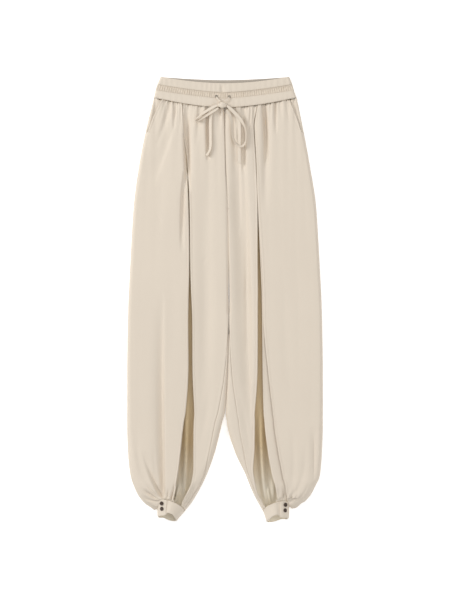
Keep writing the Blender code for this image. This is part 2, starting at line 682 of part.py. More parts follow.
def route(table, count):
    """A smooth line through the table's points, evenly spaced, with its turn."""
    c = columns(TIE_NAMES, table)
    xyz = np.stack([c["x"], c["y"], c["z"]], 1)
    step = np.linalg.norm(np.diff(xyz, axis=0), axis=1)
    t = np.concatenate([[0], np.cumsum(np.sqrt(step))])
    t /= t[-1]
    ends = np.concatenate([2 * xyz[:1] - xyz[1:2], xyz, 2 * xyz[-1:] - xyz[-2:-1]])
    fine = np.linspace(0, 1, 12 * len(table))
    k = np.clip(np.searchsorted(t, fine, side="right") - 1, 0, len(t) - 2)
    s = ((fine - t[k]) / (t[k + 1] - t[k]))[:, None]
    p0, p1, p2, p3 = ends[k], ends[k + 1], ends[k + 2], ends[k + 3]
    line = 0.5 * (
        2 * p1
        + (p2 - p0) * s
        + (2 * p0 - 5 * p1 + 4 * p2 - p3) * s**2
        + (3 * p1 - p0 - 3 * p2 + p3) * s**3
    )
    turn = ease(t, c["turn"], fine)
    run = np.concatenate([[0], np.cumsum(np.linalg.norm(np.diff(line, axis=0), axis=1))])
    even = np.linspace(0, run[-1], count)
    line = np.stack([np.interp(even, run, line[:, i]) for i in range(3)], 1)
    return line, np.radians(np.interp(even, run, turn))


def tie(name, table, width=TIE_WIDTH, count=24):
    """A flat strip: width * (side cos turn + up sin turn) about the route."""
    line, turn = route(table, count)
    ahead = np.gradient(line, axis=0)
    ahead /= np.linalg.norm(ahead, axis=1, keepdims=True)
    side = np.cross([0.0, 0.0, 1.0], ahead)
    side /= np.linalg.norm(side, axis=1, keepdims=True)
    up = np.cross(ahead, side)
    across = side * np.cos(turn)[:, None] + up * np.sin(turn)[:, None]
    normal = np.cross(ahead, across)
    places = 0.5 * width * np.array([-1, 0, 1])
    outer = line[:, None] + places[None, :, None] * across[:, None]
    normal = np.repeat(normal[:, None], len(places), 1)
    outer = outer + 0.5 * TIE_THICK * normal
    return cloth(name, outer, normal, TIE_THICK)


def knot():
    """The bow's knot: a rounded block pinched where the strips wrap it."""
    rings = np.radians(np.linspace(-90, 90, 11))[1:-1]
    turns = np.linspace(0, 2 * math.pi, 20, endpoint=False)
    a, b = np.meshgrid(rings, turns, indexing="ij")
    power = lambda s: np.sign(s) * np.abs(s) ** 0.8
    pinch = 1 - 0.10 * np.exp(-((np.sin(a) / 0.16) ** 2))
    x = power(np.sin(a))
    y = power(np.cos(a)) * power(np.cos(b)) * pinch
    z = power(np.cos(a)) * power(np.sin(b)) * pinch
    points = np.stack([x, y, z], -1).reshape(-1, 3)
    points = np.concatenate([points, [[-1, 0, 0], [1, 0, 0]]])
    points = np.array(KNOT_CENTRE) + points * KNOT_HALF
    count = len(turns)
    faces = []
    for r in range(len(rings) - 1):
        for k in range(count):
            m = (k + 1) % count
            faces.append((r * count + k, r * count + m, (r + 1) * count + m, (r + 1) * count + k))
    last = (len(rings) - 1) * count
    pole = len(points)
    for k in range(count):
        m = (k + 1) % count
        faces.append((m, k, pole - 2))
        faces.append((last + k, last + m, pole - 1))
    made = bpy.data.meshes.new("knot")
    made.from_pydata((points * METRE).tolist(), [], faces)
    made.shade_smooth()
    obj = bpy.data.objects.new("knot", made)
    bpy.context.scene.collection.objects.link(obj)
    return obj


def button(name, leg, v, f):
    """A dished disc on the cuff's tab, turned to lie on the cloth."""
    place = leg.point(v, f, 1)
    n = leg.normal(v, f, 1)
    seat = place + n * (SEAM_GAP + 0.25)
    r = BUTTON_RADIUS
    t = BUTTON_THICK
    profile = [(0, 0), (0.86 * r, 0), (r, 0.35 * t), (r, 0.7 * t), (0.9 * r, t)]
    profile += [(0.72 * r, 0.95 * t), (0.6 * r, 0.7 * t), (0, 0.66 * t)]
    turns = np.linspace(0, 2 * math.pi, 18, endpoint=False)
    side = np.cross(n, [0.0, 1.0, 0.0])
    side /= np.linalg.norm(side)
    up = np.cross(n, side)
    points = [seat, seat + n * profile[-1][1]]
    for radius, height in profile[1:-1]:
        for a in turns:
            spoke = side * math.cos(a) + up * math.sin(a)
            points.append(seat + n * height + spoke * radius)
    count = len(turns)
    faces = []
    for ring in range(len(profile) - 3):
        for k in range(count):
            m = (k + 1) % count
            a = 2 + ring * count
            b = a + count
            faces.append((a + k, a + m, b + m, b + k))
    last = 2 + (len(profile) - 3) * count
    for k in range(count):
        m = (k + 1) % count
        faces.append((2 + m, 2 + k, 0))
        faces.append((last + k, last + m, 1))
    made = bpy.data.meshes.new(name)
    made.from_pydata((np.array(points) * METRE).tolist(), [], faces)
    made.shade_smooth()
    obj = bpy.data.objects.new(name, made)
    bpy.context.scene.collection.objects.link(obj)
    return obj


def outward(obj):
    """Turn every face outwards, whichever way its builder wound it."""
    mesh = obj.data
    mesh.calc_loop_triangles()
    points = np.empty(len(mesh.vertices) * 3, np.float32)
    mesh.vertices.foreach_get("co", points)
    corners = np.empty(len(mesh.loop_triangles) * 3, np.int32)
    mesh.loop_triangles.foreach_get("vertices", corners)
    tri = points.reshape(-1, 3)[corners.reshape(-1, 3)].astype(float)
    if np.linalg.det(tri).sum() < 0:
        mesh.flip_normals()


def finish(name, colour, roughness):
    made = bpy.data.materials.new(name)
    made.use_nodes = True
    made.diffuse_color = colour
    shader = made.node_tree.nodes["Principled BSDF"]
    shader.inputs["Base Color"].default_value = colour
    shader.inputs["Roughness"].default_value = roughness
    shader.inputs["Metallic"].default_value = 0.0
    return made


def build():
    for obj in list(bpy.data.objects):
        bpy.data.objects.remove(obj)
    legs = {"left": Leg(LEFT_SECTIONS), "right": Leg(RIGHT_SECTIONS)}
    waistband()
    for side, leg in legs.items():
        side_panel(side, leg)
        centre_panel(side, leg)
        back_panel(side, leg)
        pocket_facing(side, leg)
        cuff(side, leg)
    slit_facing("right", legs["right"])
    for name, table in TIES.items():
        short = name.startswith("tie_lead")
        tie(name, table, 3.8 if short else TIE_WIDTH, 9 if short else 24)
    knot()
    for name, (side, v, f) in BUTTONS.items():
        button(name, legs[side], v, f)
    for obj in bpy.context.scene.objects:
        outward(obj)
        if obj.name.startswith("button"):
            obj.data.materials.append(finish(obj.name + "_finish", BUTTON_BROWN, 0.35))
        else:
            obj.data.materials.append(finish(obj.name + "_finish", CREAM, 0.72))


build()
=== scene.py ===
# %% [markdown]
# # Drawstring trousers, laid flat
# A pair of balloon-leg trousers in a fine cream twill lies on a white table, front up. The waist is
# gathered on elastic and tied with a bow, each leg is split down its front, and the wide legs are
# gathered into small buttoned cuffs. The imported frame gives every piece's place. This lesson lays
# a thin, finely creased cloth over each of them.

# %% Load the frame
import json
import math

import bpy
import numpy as np
from mathutils import Matrix, Vector

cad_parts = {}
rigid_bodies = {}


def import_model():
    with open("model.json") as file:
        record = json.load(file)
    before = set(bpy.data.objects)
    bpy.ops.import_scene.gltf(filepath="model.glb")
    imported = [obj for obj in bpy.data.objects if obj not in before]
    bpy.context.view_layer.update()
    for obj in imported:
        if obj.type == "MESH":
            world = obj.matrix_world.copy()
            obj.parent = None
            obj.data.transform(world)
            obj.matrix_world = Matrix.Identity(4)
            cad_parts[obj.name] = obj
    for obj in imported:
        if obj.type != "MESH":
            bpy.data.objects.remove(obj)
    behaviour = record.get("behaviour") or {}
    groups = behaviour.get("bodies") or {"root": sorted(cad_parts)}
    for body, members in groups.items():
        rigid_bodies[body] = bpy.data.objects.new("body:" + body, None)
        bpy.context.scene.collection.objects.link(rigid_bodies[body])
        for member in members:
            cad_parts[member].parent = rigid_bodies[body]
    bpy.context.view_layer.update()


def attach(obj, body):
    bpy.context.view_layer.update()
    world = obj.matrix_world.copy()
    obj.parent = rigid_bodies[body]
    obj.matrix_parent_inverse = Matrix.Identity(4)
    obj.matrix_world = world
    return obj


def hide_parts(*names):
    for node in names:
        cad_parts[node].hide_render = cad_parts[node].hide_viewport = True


for leftover in list(bpy.data.objects):
    bpy.data.objects.remove(leftover)
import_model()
MM = 0.001

# %% [markdown]
# ## Camera, table and light
# The photograph looks straight down. A camera five metres up with a long lens keeps the garment's
# proportions, because nearer things then hardly look larger. The table is a white sheet, faintly
# lit from below as a photographer's light table is, so hardly any shadow is left on it. Wide soft
# lamps stand round it, a little stronger at the upper left.

# %% Camera, table and light
PIXEL = 2.35 * MM
CAMERA_HEIGHT = 5.0
CLOTH_LEVEL = 0.012
SENSOR = 36.0
FRAME_HEIGHT = 600 * PIXEL
MIDDLE = (0.0012, -0.0011)
camera = bpy.data.objects.new("camera", bpy.data.cameras.new("camera"))
bpy.context.scene.collection.objects.link(camera)
bpy.context.scene.camera = camera
camera.data.sensor_width = SENSOR
camera.data.lens = SENSOR * (CAMERA_HEIGHT - CLOTH_LEVEL) / FRAME_HEIGHT
camera.location = (MIDDLE[0], MIDDLE[1], CAMERA_HEIGHT)
camera.data.clip_end = 100
bpy.context.scene.view_settings.view_transform = "Standard"
bpy.context.scene.view_settings.look = "None"

TABLE_REACH = 30.0
TABLE_DROP = 0.0006
corners = TABLE_REACH * np.array([(-1, -1, 0), (1, -1, 0), (1, 1, 0), (-1, 1, 0)])
table_mesh = bpy.data.meshes.new("table")
table_mesh.from_pydata(corners.tolist(), [], [(0, 1, 2, 3)])
table_mesh.transform(Matrix.Translation((0, 0, -TABLE_DROP)))
table = bpy.data.objects.new("table", table_mesh)
bpy.context.scene.collection.objects.link(table)
table_paint = bpy.data.materials.new("white_table")
table_paint.use_nodes = True
paint = table_paint.node_tree.nodes["Principled BSDF"].inputs
paint["Base Color"].default_value = (0.97, 0.97, 0.97, 1)
paint["Roughness"].default_value = 0.9
paint["Emission Color"].default_value = (1, 1, 1, 1)
paint["Emission Strength"].default_value = 0.34
table_mesh.materials.append(table_paint)


def lamp(name, place, size, power, aim=(0, 0, 0)):
    """A square area lamp at place, turned so that it shines at aim."""
    data = bpy.data.lights.new(name, "AREA")
    data.size = size
    data.energy = power
    made = bpy.data.objects.new(name, data)
    made.location = place
    way = Vector(aim) - made.location
    made.rotation_euler = way.to_track_quat("-Z", "Y").to_euler()
    bpy.context.scene.collection.objects.link(made)
    return made


lamp("window", (-2.7, 1.3, 1.7), 1.2, 58)
lamp("fill", (2.4, -0.8, 2.4), 2.4, 20)
lamp("overhead", (0.2, 0.2, 3.6), 3.0, 36)
world = bpy.data.worlds.new("studio")
bpy.context.scene.world = world
world.use_nodes = True
background = world.node_tree.nodes["Background"].inputs
background["Color"].default_value = (1, 1, 1, 1)
background["Strength"].default_value = 0.42
print("camera lens", round(camera.data.lens, 1))

# %% [markdown]
# ## The legs' sizes
# Each leg is a flattened tube. Its shape is a table of sections from the waist seam to the cuff's
# lower edge, in millimetres: where the section starts and ends in plan, where the slit's two edges
# and the inside-leg seam cross it, how high the front stands and how wide its rounded edge is.
# A smooth curve through each column gives every place in between.

# %% Sections of the legs
SECTION_NAMES = (
    "out_x out_y in_x in_y side centre facing seam "
    "height roll lean_front lean_back hang_x hang_y droop"
).split()
LEFT_SECTIONS = (
    (-166, 475, 1, 451, -98.4, -97.7, -97.7, 1, 13, 7, 0, 0, 0, 0, 1),
    (-183, 406, 1, 406, -96.5, -95.8, -95.8, 1, 15, 8, 0, 0, 0, 0, 0.45),
    (-201, 314, 3, 314, -88.0, -87.3, -87.3, 3, 16, 8.5, 0, 0, 0, 0, 0),
    (-213, 225, 7, 225, -82.9, -82.2, -82.2, 7, 16, 9, 0, 0, 0, 0, 0),
    (-222, 77, 10, 77, -81.0, -80.2, -80.2, 10, 16, 9, 0, 0, 0, 0, 0),
    (-227, -39, 9, -39, -86.0, -76.8, -76.8, 9, 16, 9, 0, 0, 0, 0, 0),
    (-229, -173, 5, -173, -86.0, -76.1, -76.1, -1.6, 17, 10, 0, 0, 0, 0, 0),
    (-229, -285, -6, -285, -96.1, -73.3, -73.3, -23, 20, 12, 0, 0, 0, 0, 0),
    (-227, -354, -21, -354, -102.5, -73.1, -73.1, -35, 24, 16, 0, 0, 0, 0, 0),
    (-221, -412, -41, -410, -109.5, -74.3, -74.3, -47.5, 28, 22, 0, 0, 0, 0, 0),
    (-212, -440, -55, -440, -114.4, -80.6, -80.6, -60, 31, 26, 3, 2, 0, 0, 0),
    (-199, -465, -66, -459, -118.0, -88.1, -88.1, -70.8, 32, 29, 7, 5, 0, 0, 0),
    (-180, -482, -78, -478, -121.0, -95.6, -95.6, -81.1, 33, 31, 13, 9, 0, 0, 0),
    (-166, -482, -88, -490, -122.0, -99.9, -99.9, -90.5, 33, 33, 17, 10.5, 5, -15, 0),
    (-159, -473, -94, -498, -122.2, -103.4, -103.4, -96.6, 32, 34.7, 13, 13, 0, 0, 0),
    (-151, -504, -112, -519, -133.0, -128.0, -128.0, -116, 40, 21, 7.3, 7.3, 0, 0, 0),
)
RIGHT_SECTIONS = (
    (170, 475, 1, 451, 77.1, 76.4, 76.4, 1, 13, 7, 0, 0, 0, 0, 1),
    (184, 406, 1, 406, 69.9, 69.2, 69.2, 1, 15, 8, 0, 0, 0, 0, 0.45),
    (201, 314, 3, 314, 74.8, 74.1, 74.1, 3, 16, 8.5, 0, 0, 0, 0, 0),
    (214, 225, 7, 225, 78.0, 77.3, 77.3, 7, 16, 9, 0, 0, 0, 0, 0),
    (222, 77, 10, 77, 86.9, 77.3, 84.0, 10, 16, 9, 0, 0, 0, 0, 0),
    (227, -39, 12, -39, 91.0, 78.5, 88.4, 12, 16, 9, 0, 0, 0, 0, 0),
    (229, -173, 9, -173, 102.6, 78.2, 89.6, 19, 17, 10, 0, 0, 0, 0, 0),
    (229, -285, 6.5, -285, 115.5, 72.2, 93.6, 34, 20, 12, 0, 0, 0, 0, 0),
    (227, -354, 23, -354, 123.8, 70.0, 100.2, 44.4, 24, 16, 0, 0, 0, 0, 0),
    (222, -412, 49, -410, 134.4, 67.9, 110.5, 56, 28, 22, 0, 0, 0, 0, 0),
    (213, -436, 60, -438, 140.8, 72.9, 117.7, 65.8, 31, 26, 3, 2, 0, 0, 0),
    (200, -462, 72, -464, 145.2, 79.9, 122.5, 76.4, 32, 29, 7, 5, 0, 0, 0),
    (182, -477, 81, -480, 147.3, 87.0, 124.5, 84, 33, 31, 13, 9, 0, 0, 0),
    (168, -477, 87, -491, 148.3, 92.8, 125.0, 89.6, 33, 33, 17, 10.5, -3.5, -14, 0),
    (154, -479, 91, -498, 149.3, 98.5, 125.0, 93.5, 32, 33.4, 13.5, 13.5, 0, 0, 0),
    (145, -508, 99, -522, 130.0, 107.0, 118.0, 104, 40, 24, 6, 6, 0, 0, 0),
)
CROTCH = 5.0
CUFF_TOP = 14.0
CUFF_END = 15.0
POCKET_AT = np.array([0.0, 0.36, 0.72, 1.0, 1.15])
POCKET_INSET = np.array([18.5, 13.5, 9.5, 7.0, 5.0])
POCKET_END = 1.152
SEAM_GAP = 0.35
BACK_RISE = 6.8
SEAM_DIP = 24.2
SEAM_POWER = 1.7
HANG_REACH = {1: 8.0, -1: 3.5}
POUCH_TUCK, POUCH_AT, POUCH_LONG = 8.0, 13.45, 0.32
FULLER, FULLER_FROM, FULLER_TO, FULLER_EASE = 2.4, 2.0, 11.5, 2.5
LEGS_PART_AT, LEGS_PART_OVER = 4.55, 0.75
TIGHT_AT, TIGHT_OVER = 5.6, 0.6
SECTION_PITCH = 69.0
GATHER_AT = np.array([9.0, 10.0, 11.0, 12.0, 13.0, 14.0])
GATHER_ABOVE = np.array([80.0, 52.0, 29.0, 14.0, 7.0, 0.0])
MEET_AT = np.array([4.5, 5.0, 6.0, 6.8, 7.02, 7.35])
MEET_BY = np.array([0.0, 1.4, 1.9, 4.3, 1.6, 0.0])


def columns(names, table):
    """The table's rows as one array for each named column."""
    return dict(zip(names, np.array(table, float).T))


def ease(knots, values, at):
    """Monotone cubic through the points (knots, values): it never overshoots a knot."""
    step = np.diff(knots)
    rate = np.diff(values) / step
    slope = np.empty(len(knots))
    slope[0], slope[-1] = rate[0], rate[-1]
    total = rate[:-1] + rate[1:]
    same = rate[:-1] * rate[1:] > 0
    slope[1:-1] = np.where(same, 2 * rate[:-1] * rate[1:] / np.where(total == 0, 1, total), 0)
    k = np.clip(np.searchsorted(knots, at, side="right") - 1, 0, len(step) - 1)
    t = (at - knots[k]) / step[k]
    return (
        (2 * t**3 - 3 * t**2 + 1) * values[k]
        + (t**3 - 2 * t**2 + t) * slope[k] * step[k]
        + (3 * t**2 - 2 * t**3) * values[k + 1]
        + (t**3 - t**2) * slope[k + 1] * step[k]
    )


def smooth(t):
    """0 below t = 0, 1 above t = 1, and 3t^2 - 2t^3 in between."""
    t = np.clip(t, 0, 1)
    return t * t * (3 - 2 * t)


def rolled(e, width):
    """Height share of a rounded edge: a quarter ellipse, e in from the edge."""
    return np.sqrt(np.clip(1 - (1 - np.clip(e / width, 0, 1)) ** 2, 0, 1))


print("sections", len(LEFT_SECTIONS), "and", len(RIGHT_SECTIONS))

# %% [markdown]
# ## Folds and creases
# Cloth that hangs from a gathered waist falls in long soft folds. Each row is one fold: a curve
# from its start through its middle to its end, its half width, which way its steep side faces, and
# its depth at those three places. The first table has the folds of the solid beneath, the second
# the finer creases that only the cloth shows, and the third the deep tucks beside the bow and the
# slits, whose floors lie in shadow.

# %% Fold tables
FOLDS = (
    (-128, 471, -137.5, 424, -163, 354, 6, 0, 3.0, 2.2, 0),
    (-116, 469, -116, 441, -115, 403, 4.7, 0, 2.4, 1.4, 0),
    (-87.7, 462, -87.2, 363, -84.4, 286, 8, 0, 1.5, 4.2, 0.8),
    (-60, 462, -61.5, 415, -68, 356, 4.7, 0, 2.6, 1.8, 0),
    (-40, 457, -40, 398, -37.6, 328, 5.2, 0, 2.6, 2.0, 0.4),
    (-13, 455, -13, 431, -14, 398, 4.2, 0, 2.6, 1.5, 0),
    (-99.4, 286, -102, 215, -99.4, 112, 7, 0, 0, 2.6, 0),
    (-145.5, 0, -147.5, -200, -143.6, -457, 9.4, 1, 0.5, 4.2, 4.5),
    (-120, 410, -147, 333, -169, 267, 14, 1, 1.0, 1.8, 0),
    (-39, 316, -48, 0, -50.5, -283, 16.4, 0, 1.2, 2.4, 1.0),
    (-191.5, -358, -169, -419, -143, -464, 7.5, -1, 0, 3.2, 2.4),
    (-191.5, -462, -176, -470, -156, -476, 4.2, 0, 0, 2.2, 1.5),
    (-188, -445, -173, -459, -152, -470, 4.2, 0, 0, 2.6, 1.8),
    (-90.5, -429, -97.5, -457, -109, -478, 3.8, 0, 0, 1.6, 1.2),
    (-67, -429, -76.4, -457, -93, -480, 5.6, 0, 0, 2.4, 1.6),
    (1, 455, 6, 240, 10.5, -30, 3.6, 0, 0.8, 1.2, 3.0),
    (5, 455, 5, 431, 4.5, 403, 4.2, 0, 2.6, 1.4, 0),
    (21, 455, 23.5, 375, 26, 286, 5.2, 0, 2.2, 1.6, 0),
    (46, 462, 47, 434, 49.4, 403, 5.6, 0, 3.4, 2.4, 0),
    (72.6, 460, 70, 398, 74, 300, 4.2, 0, 2.8, 1.6, 0.6),
    (91.7, 467, 97, 375, 94, 199, 8, 0, 2.8, 4.2, 0),
    (118.7, 471, 118.7, 431, 118.7, 380, 5.2, 0, 2.8, 1.8, 0),
    (130, 474, 131.4, 450, 133.7, 424, 4.7, 0, 2.4, 1.4, 0),
    (27, 257, 40, 69, 44.6, -236, 16.4, 0, 1.0, 3.2, 0.4),
    (209.4, -295, 211, -365, 207.5, -438, 8, 0, 0, 2.2, 0.6),
    (168, -445, 160, -457, 153, -469, 4.2, 0, 0, 2.0, 1.6),
    (177.4, -464, 168, -470, 157.5, -473, 4.2, 0, 0, 2.0, 1.4),
    (64.6, -410, 75, -445, 88, -478, 6, 0, 0, 2.6, 1.8),
)
CREASES = (
    (-161, 201, -154, 192, -147, 185, 3.0, 0, 0, 0.8, 0),
    (-41, 100, -47, 93, -53, 86, 3.0, 0, 0, 0.8, 0),
    (-102, 455, -104, 420, -108, 385, 3.0, 0, 1.6, 0.9, 0),
    (-74, 458, -75, 430, -78, 392, 3.0, 0, 1.4, 0.9, 0),
    (-28, 452, -28, 425, -30, 395, 2.8, 0, 1.4, 0.8, 0),
    (34, 452, 35, 420, 36, 380, 3.0, 0, 1.4, 0.9, 0),
    (60, 458, 60, 430, 61, 400, 3.0, 0, 1.4, 0.8, 0),
    (106, 464, 107, 425, 108, 390, 3.0, 0, 1.4, 0.9, 0),
    (-139, 470, -146, 445, -155, 410, 3.0, 0, 1.4, 0.8, 0),
    (144, 470, 148, 440, 154, 415, 3.0, 0, 1.2, 0.7, 0),
    (-178, 60, -182, -60, -180, -190, 22, 0, 0, 0.8, 0),
    (168, 120, 176, -40, 174, -220, 24, 0, 0, 1.0, 0),
    (-118, 60, -120, -40, -118, -160, 14, 0, 0, 0.7, 0),
    (138, 40, 146, -120, 158, -260, 13, 0, 0, 1.0, 0),
    (-166, -330, -163, -400, -150, -455, 4.0, 0, 0, 1.2, 1.0),
    (-207, -300, -200, -380, -176, -440, 6.0, 0, 0, 1.3, 0.8),
    (188, -330, 186, -400, 168, -450, 6.0, 0, 0, 1.2, 0.8),
    (158, -300, 162, -380, 158, -445, 7.0, 0, 0, 1.4, 1.0),
    (-30, -180, -40, -260, -58, -350, 9.0, 0, 0, 1.0, 0),
    (30, -200, 48, -290, 62, -370, 6.0, 0, 0, 0.9, 0),
    (-146, -402, -145, -425, -144, -450, 2.6, 1, 0.6, 1.6, 1.0),
    (52, 66, 50, 30, 47, -10, 3.4, 0, 0, 0.6, 0),
    (-99.4, 286, -102, 215, -99.4, 112, 7, 0, 0, -2.6, 0),
    (43, 345, 54, 80, 61, -190, 14, 1, 1.6, 7.4, 2.5),
    (30, 395, 33, 300, 36, 170, 10, 1, 1.5, 4.2, 1.0),
    (51, 150, 52, 10, 53, -120, 5.0, 0, 0.5, 2.6, 1.0),
    (54, -70, 58, -190, 60, -310, 10, 1, 0.5, 4.0, 0),
    (-38, 110, -38, -60, -42, -230, 15, 0, 0, 2.8, 0),
    (80, -110, 72, -270, 68, -420, 26, 0, 0, 3.6, 1.0),
    (-114, 455, -117, 430, -119, 400, 3.0, 0, 2.0, 2.6, 0),
    (120, 462, 121, 425, 122, 385, 2.8, 0, 2.0, 2.4, 0),
    (62, 455, 60, 425, 56, 385, 2.6, 0, 2.0, 2.6, 0),
    (-12, 452, -10, 425, -11, 385, 3.0, 0, 2.0, 1.0, 0),
    (-1, 452, 0.5, 430, 1, 395, 3.2, 0, 2.6, 1.6, 0.2),
    (-152, 360, -150, 250, -158, 100, 20, 1, 0, 1.0, 0),
    (-145, -40, -144.5, -260, -143, -454, 5.6, 1, 0, 3.2, 4.8),
    (-176, -398, -160, -436, -142.5, -466, 3.6, 1, 0.5, 4.6, 3.6),
    (-189, -446, -172, -458, -156, -471, 2.3, 0, 0.6, 4.6, 3.4),
    (-194, -463, -178, -470, -161, -475, 2.0, 0, 0.6, 4.0, 3.0),
    (-183, -432, -170, -449, -154, -464, 2.0, 0, 0, 3.0, 2.6),
    (-116.6, -430, -120, -449, -125, -468, 2.4, 0, 0.6, 4.6, 4.2),
    (-131.6, -444, -133, -457, -136, -469, 2.0, 0, 0.3, 3.6, 3.6),
    (-103, -446, -108, -460, -114, -474, 2.2, 0, 0, 3.4, 3.4),
    (152, -458, 157, -465, 158, -474, 2.0, 0, 0.5, 3.6, 3.4),
    (172, -456, 166, -464, 160, -472, 2.2, 0, 0.4, 3.4, 3.0),
    (136, -440, 141, -456, 145, -472, 2.2, 0, 0.5, 3.8, 3.6),
    (208.5, -318, 209.5, -370, 208, -425, 2.6, -1, 0, 1.1, 0.3),
    (73, -396, 78, -430, 86, -468, 4.2, 1, 0, 1.6, 1.0),
    (-196, -442, -178, -458, -157, -474, 3.0, 0, 0, 1.9, 1.4),
    (-193, -462, -178, -467, -158, -476, 2.6, 0, 0, 1.6, 1.4),
    (-121, -448, -124, -462, -128, -474, 2.6, 0, 0, 1.8, 2.0),
    (146, -452, 148, -462, 152, -474, 2.6, 0, 0, 1.6, 1.6),
    (128, -440, 136, -458, 142, -474, 3.0, 0, 0, 1.6, 1.6),
)
TUCKS = (
    (-91, 442, -88.0, 350, -86.0, 256, 6.4, 0, 1.5, 8.4, 2.0),
    (-92.5, 296, -98.0, 222, -99.0, 115, 4.6, 0, 2.4, 5.8, 0.5),
    (-40.5, 444, -40.2, 390, -39.0, 332, 3.6, 0, 4.0, 8.4, 2.0),
    (41, 425, 44.5, 365, 46, 300, 5.0, 0, 3.0, 7.0, 1.0),
    (92.5, 464, 97, 398, 98.5, 318, 4.6, 0, 3.0, 7.6, 1.0),
)
TUCK_EDGE = 2.2
FOLD_STRENGTH = 1.4
BACK_FOLDS = (
    (-89, -200, -90, -350, -96, -462, 7, 0, 0, -10.0, -6.0),
    (-106, -420, -108, -450, -112, -476, 5, 0, 0, -4.0, -2.0),
    (84, -230, 87, -370, 96, -466, 7, 0, 0, -11.0, -8.0),
    (112, -420, 114, -448, 112, -476, 5, 0, 0, -4.0, -2.0),
    (101, -436, 105, -458, 108, -482, 3, 0, 0, -7.0, -6.0),
    (-110, -440, -112, -458, -118, -478, 3, 0, 0, -7.0, -5.0),
)


def fold_depth(table, x, y, edge=1.0):
    """Sum over the folds of depth(t) * exp(-((d / width)^2)^edge), d being the distance from the
    fold's curve and t the place along it. The fold's steep side is narrower, and a higher edge
    makes it a tuck with a flat floor and steep walls."""
    total = np.zeros(np.shape(x))
    along = np.linspace(0, 1, 15)
    for x0, y0, xm, ym, x1, y1, width, steep, d0, dm, d1 in table:
        near = (y > min(y0, y1) - 4 * width) & (y < max(y0, y1) + 4 * width)
        near &= (x > min(x0, xm, x1) - 5 * width) & (x < max(x0, xm, x1) + 5 * width)
        if not near.any():
            continue
        cx, cy = 2 * xm - (x0 + x1) / 2, 2 * ym - (y0 + y1) / 2
        px = (1 - along) ** 2 * x0 + 2 * along * (1 - along) * cx + along**2 * x1
        py = (1 - along) ** 2 * y0 + 2 * along * (1 - along) * cy + along**2 * y1
        sx, sy = np.diff(px), np.diff(py)
        rx, ry = x[near][:, None] - px[:-1], y[near][:, None] - py[:-1]
        t = np.clip((rx * sx + ry * sy) / (sx**2 + sy**2), 0, 1)
        ex, ey = rx - t * sx, ry - t * sy
        gap = ex**2 + ey**2
        first = gap.argmin(-1)
        row = np.arange(len(first))
        place = (first + t[row, first]) / (len(along) - 1)
        spread = width * (1 - 0.55 * steep * np.sign(ex[row, first]))
        depth = (
            d0 * (1 - place) * (1 - 2 * place)
            + 4 * dm * place * (1 - place)
            + d1 * place * (2 * place - 1)
        )
        total[near] += depth * np.exp(-((gap[row, first] / spread**2) ** edge))
    return total


def puckers(phase, sharp):
    """A wave from 0 to 1 whose valleys are narrow: ((1 + sin(phase)) / 2) to the power sharp."""
    return (0.5 + 0.5 * np.sin(phase)) ** sharp


def waist_gathers(below, x):
    """Gathers under the waist seam: narrow uneven valleys across x that die away below it, short
    ones within 15 mm, longer ones within 50 mm, and soft wide ones within 150 mm."""
    short = puckers(2 * np.pi * x / 6.3 + 1.6 * np.sin(x / 11.0), 2.0)
    short = short * (0.7 + 0.3 * np.sin(x / 7.3))
    middle = puckers(2 * np.pi * x / 12.1 + 2.1 * np.sin(x / 17.0 + 1), 3.0)
    middle = middle * (0.6 + 0.4 * np.sin(x / 9.0 + 2))
    long = np.sin(2 * np.pi * x / 23.0 + 1.7 * np.sin(x / 31.0 + 0.5))
    pinch = 1.0 + 2.6 * puckers(2 * np.pi * x / 5.1 + 1.2 * np.sin(x / 13.0), 2.0)
    waves = 1.8 * short * np.exp(-below / 8) + 3.4 * middle * np.exp(-below / 24)
    return waves + 1.0 * long * np.exp(-below / 75) + pinch * (1 - rolled(below, 4.0))


def cuff_gathers(above, f):
    """Gathers over the cuff: narrow uneven valleys across the section that die away above it."""
    short = puckers(2 * np.pi * 16 * f + 2.2 * np.sin(8.3 * f), 2.0)
    long = puckers(2 * np.pi * 8 * f + 1.7 * np.sin(6.1 * f + 0.8), 2.5)
    waves = 2.4 * short * np.exp(-above / 9) + 4.2 * long * np.exp(-above / 22)
    return waves + 2.4 * (1 - rolled(above, 3.5))


def held_above_cuff(depth, above):
    """The seam to the cuff holds the cloth up: a depth levels off at 4 mm there, and at more the
    further above the cuff it is, as most * tanh(depth / most)."""
    most = 4.0 + 0.3 * above + 0.02 * above**2
    return most * np.tanh(depth / most)


print("folds", len(FOLDS), "creases", len(CREASES), "tucks", len(TUCKS))

# %% [markdown]
# ## A leg as a surface
# A point of a leg is found from two numbers: v runs down the sections and f runs across one, from
# the side fold to the inside. The front and the back are two such sheets. They meet in a rounded
# edge at the side fold and, below the crotch, at the inside leg too.

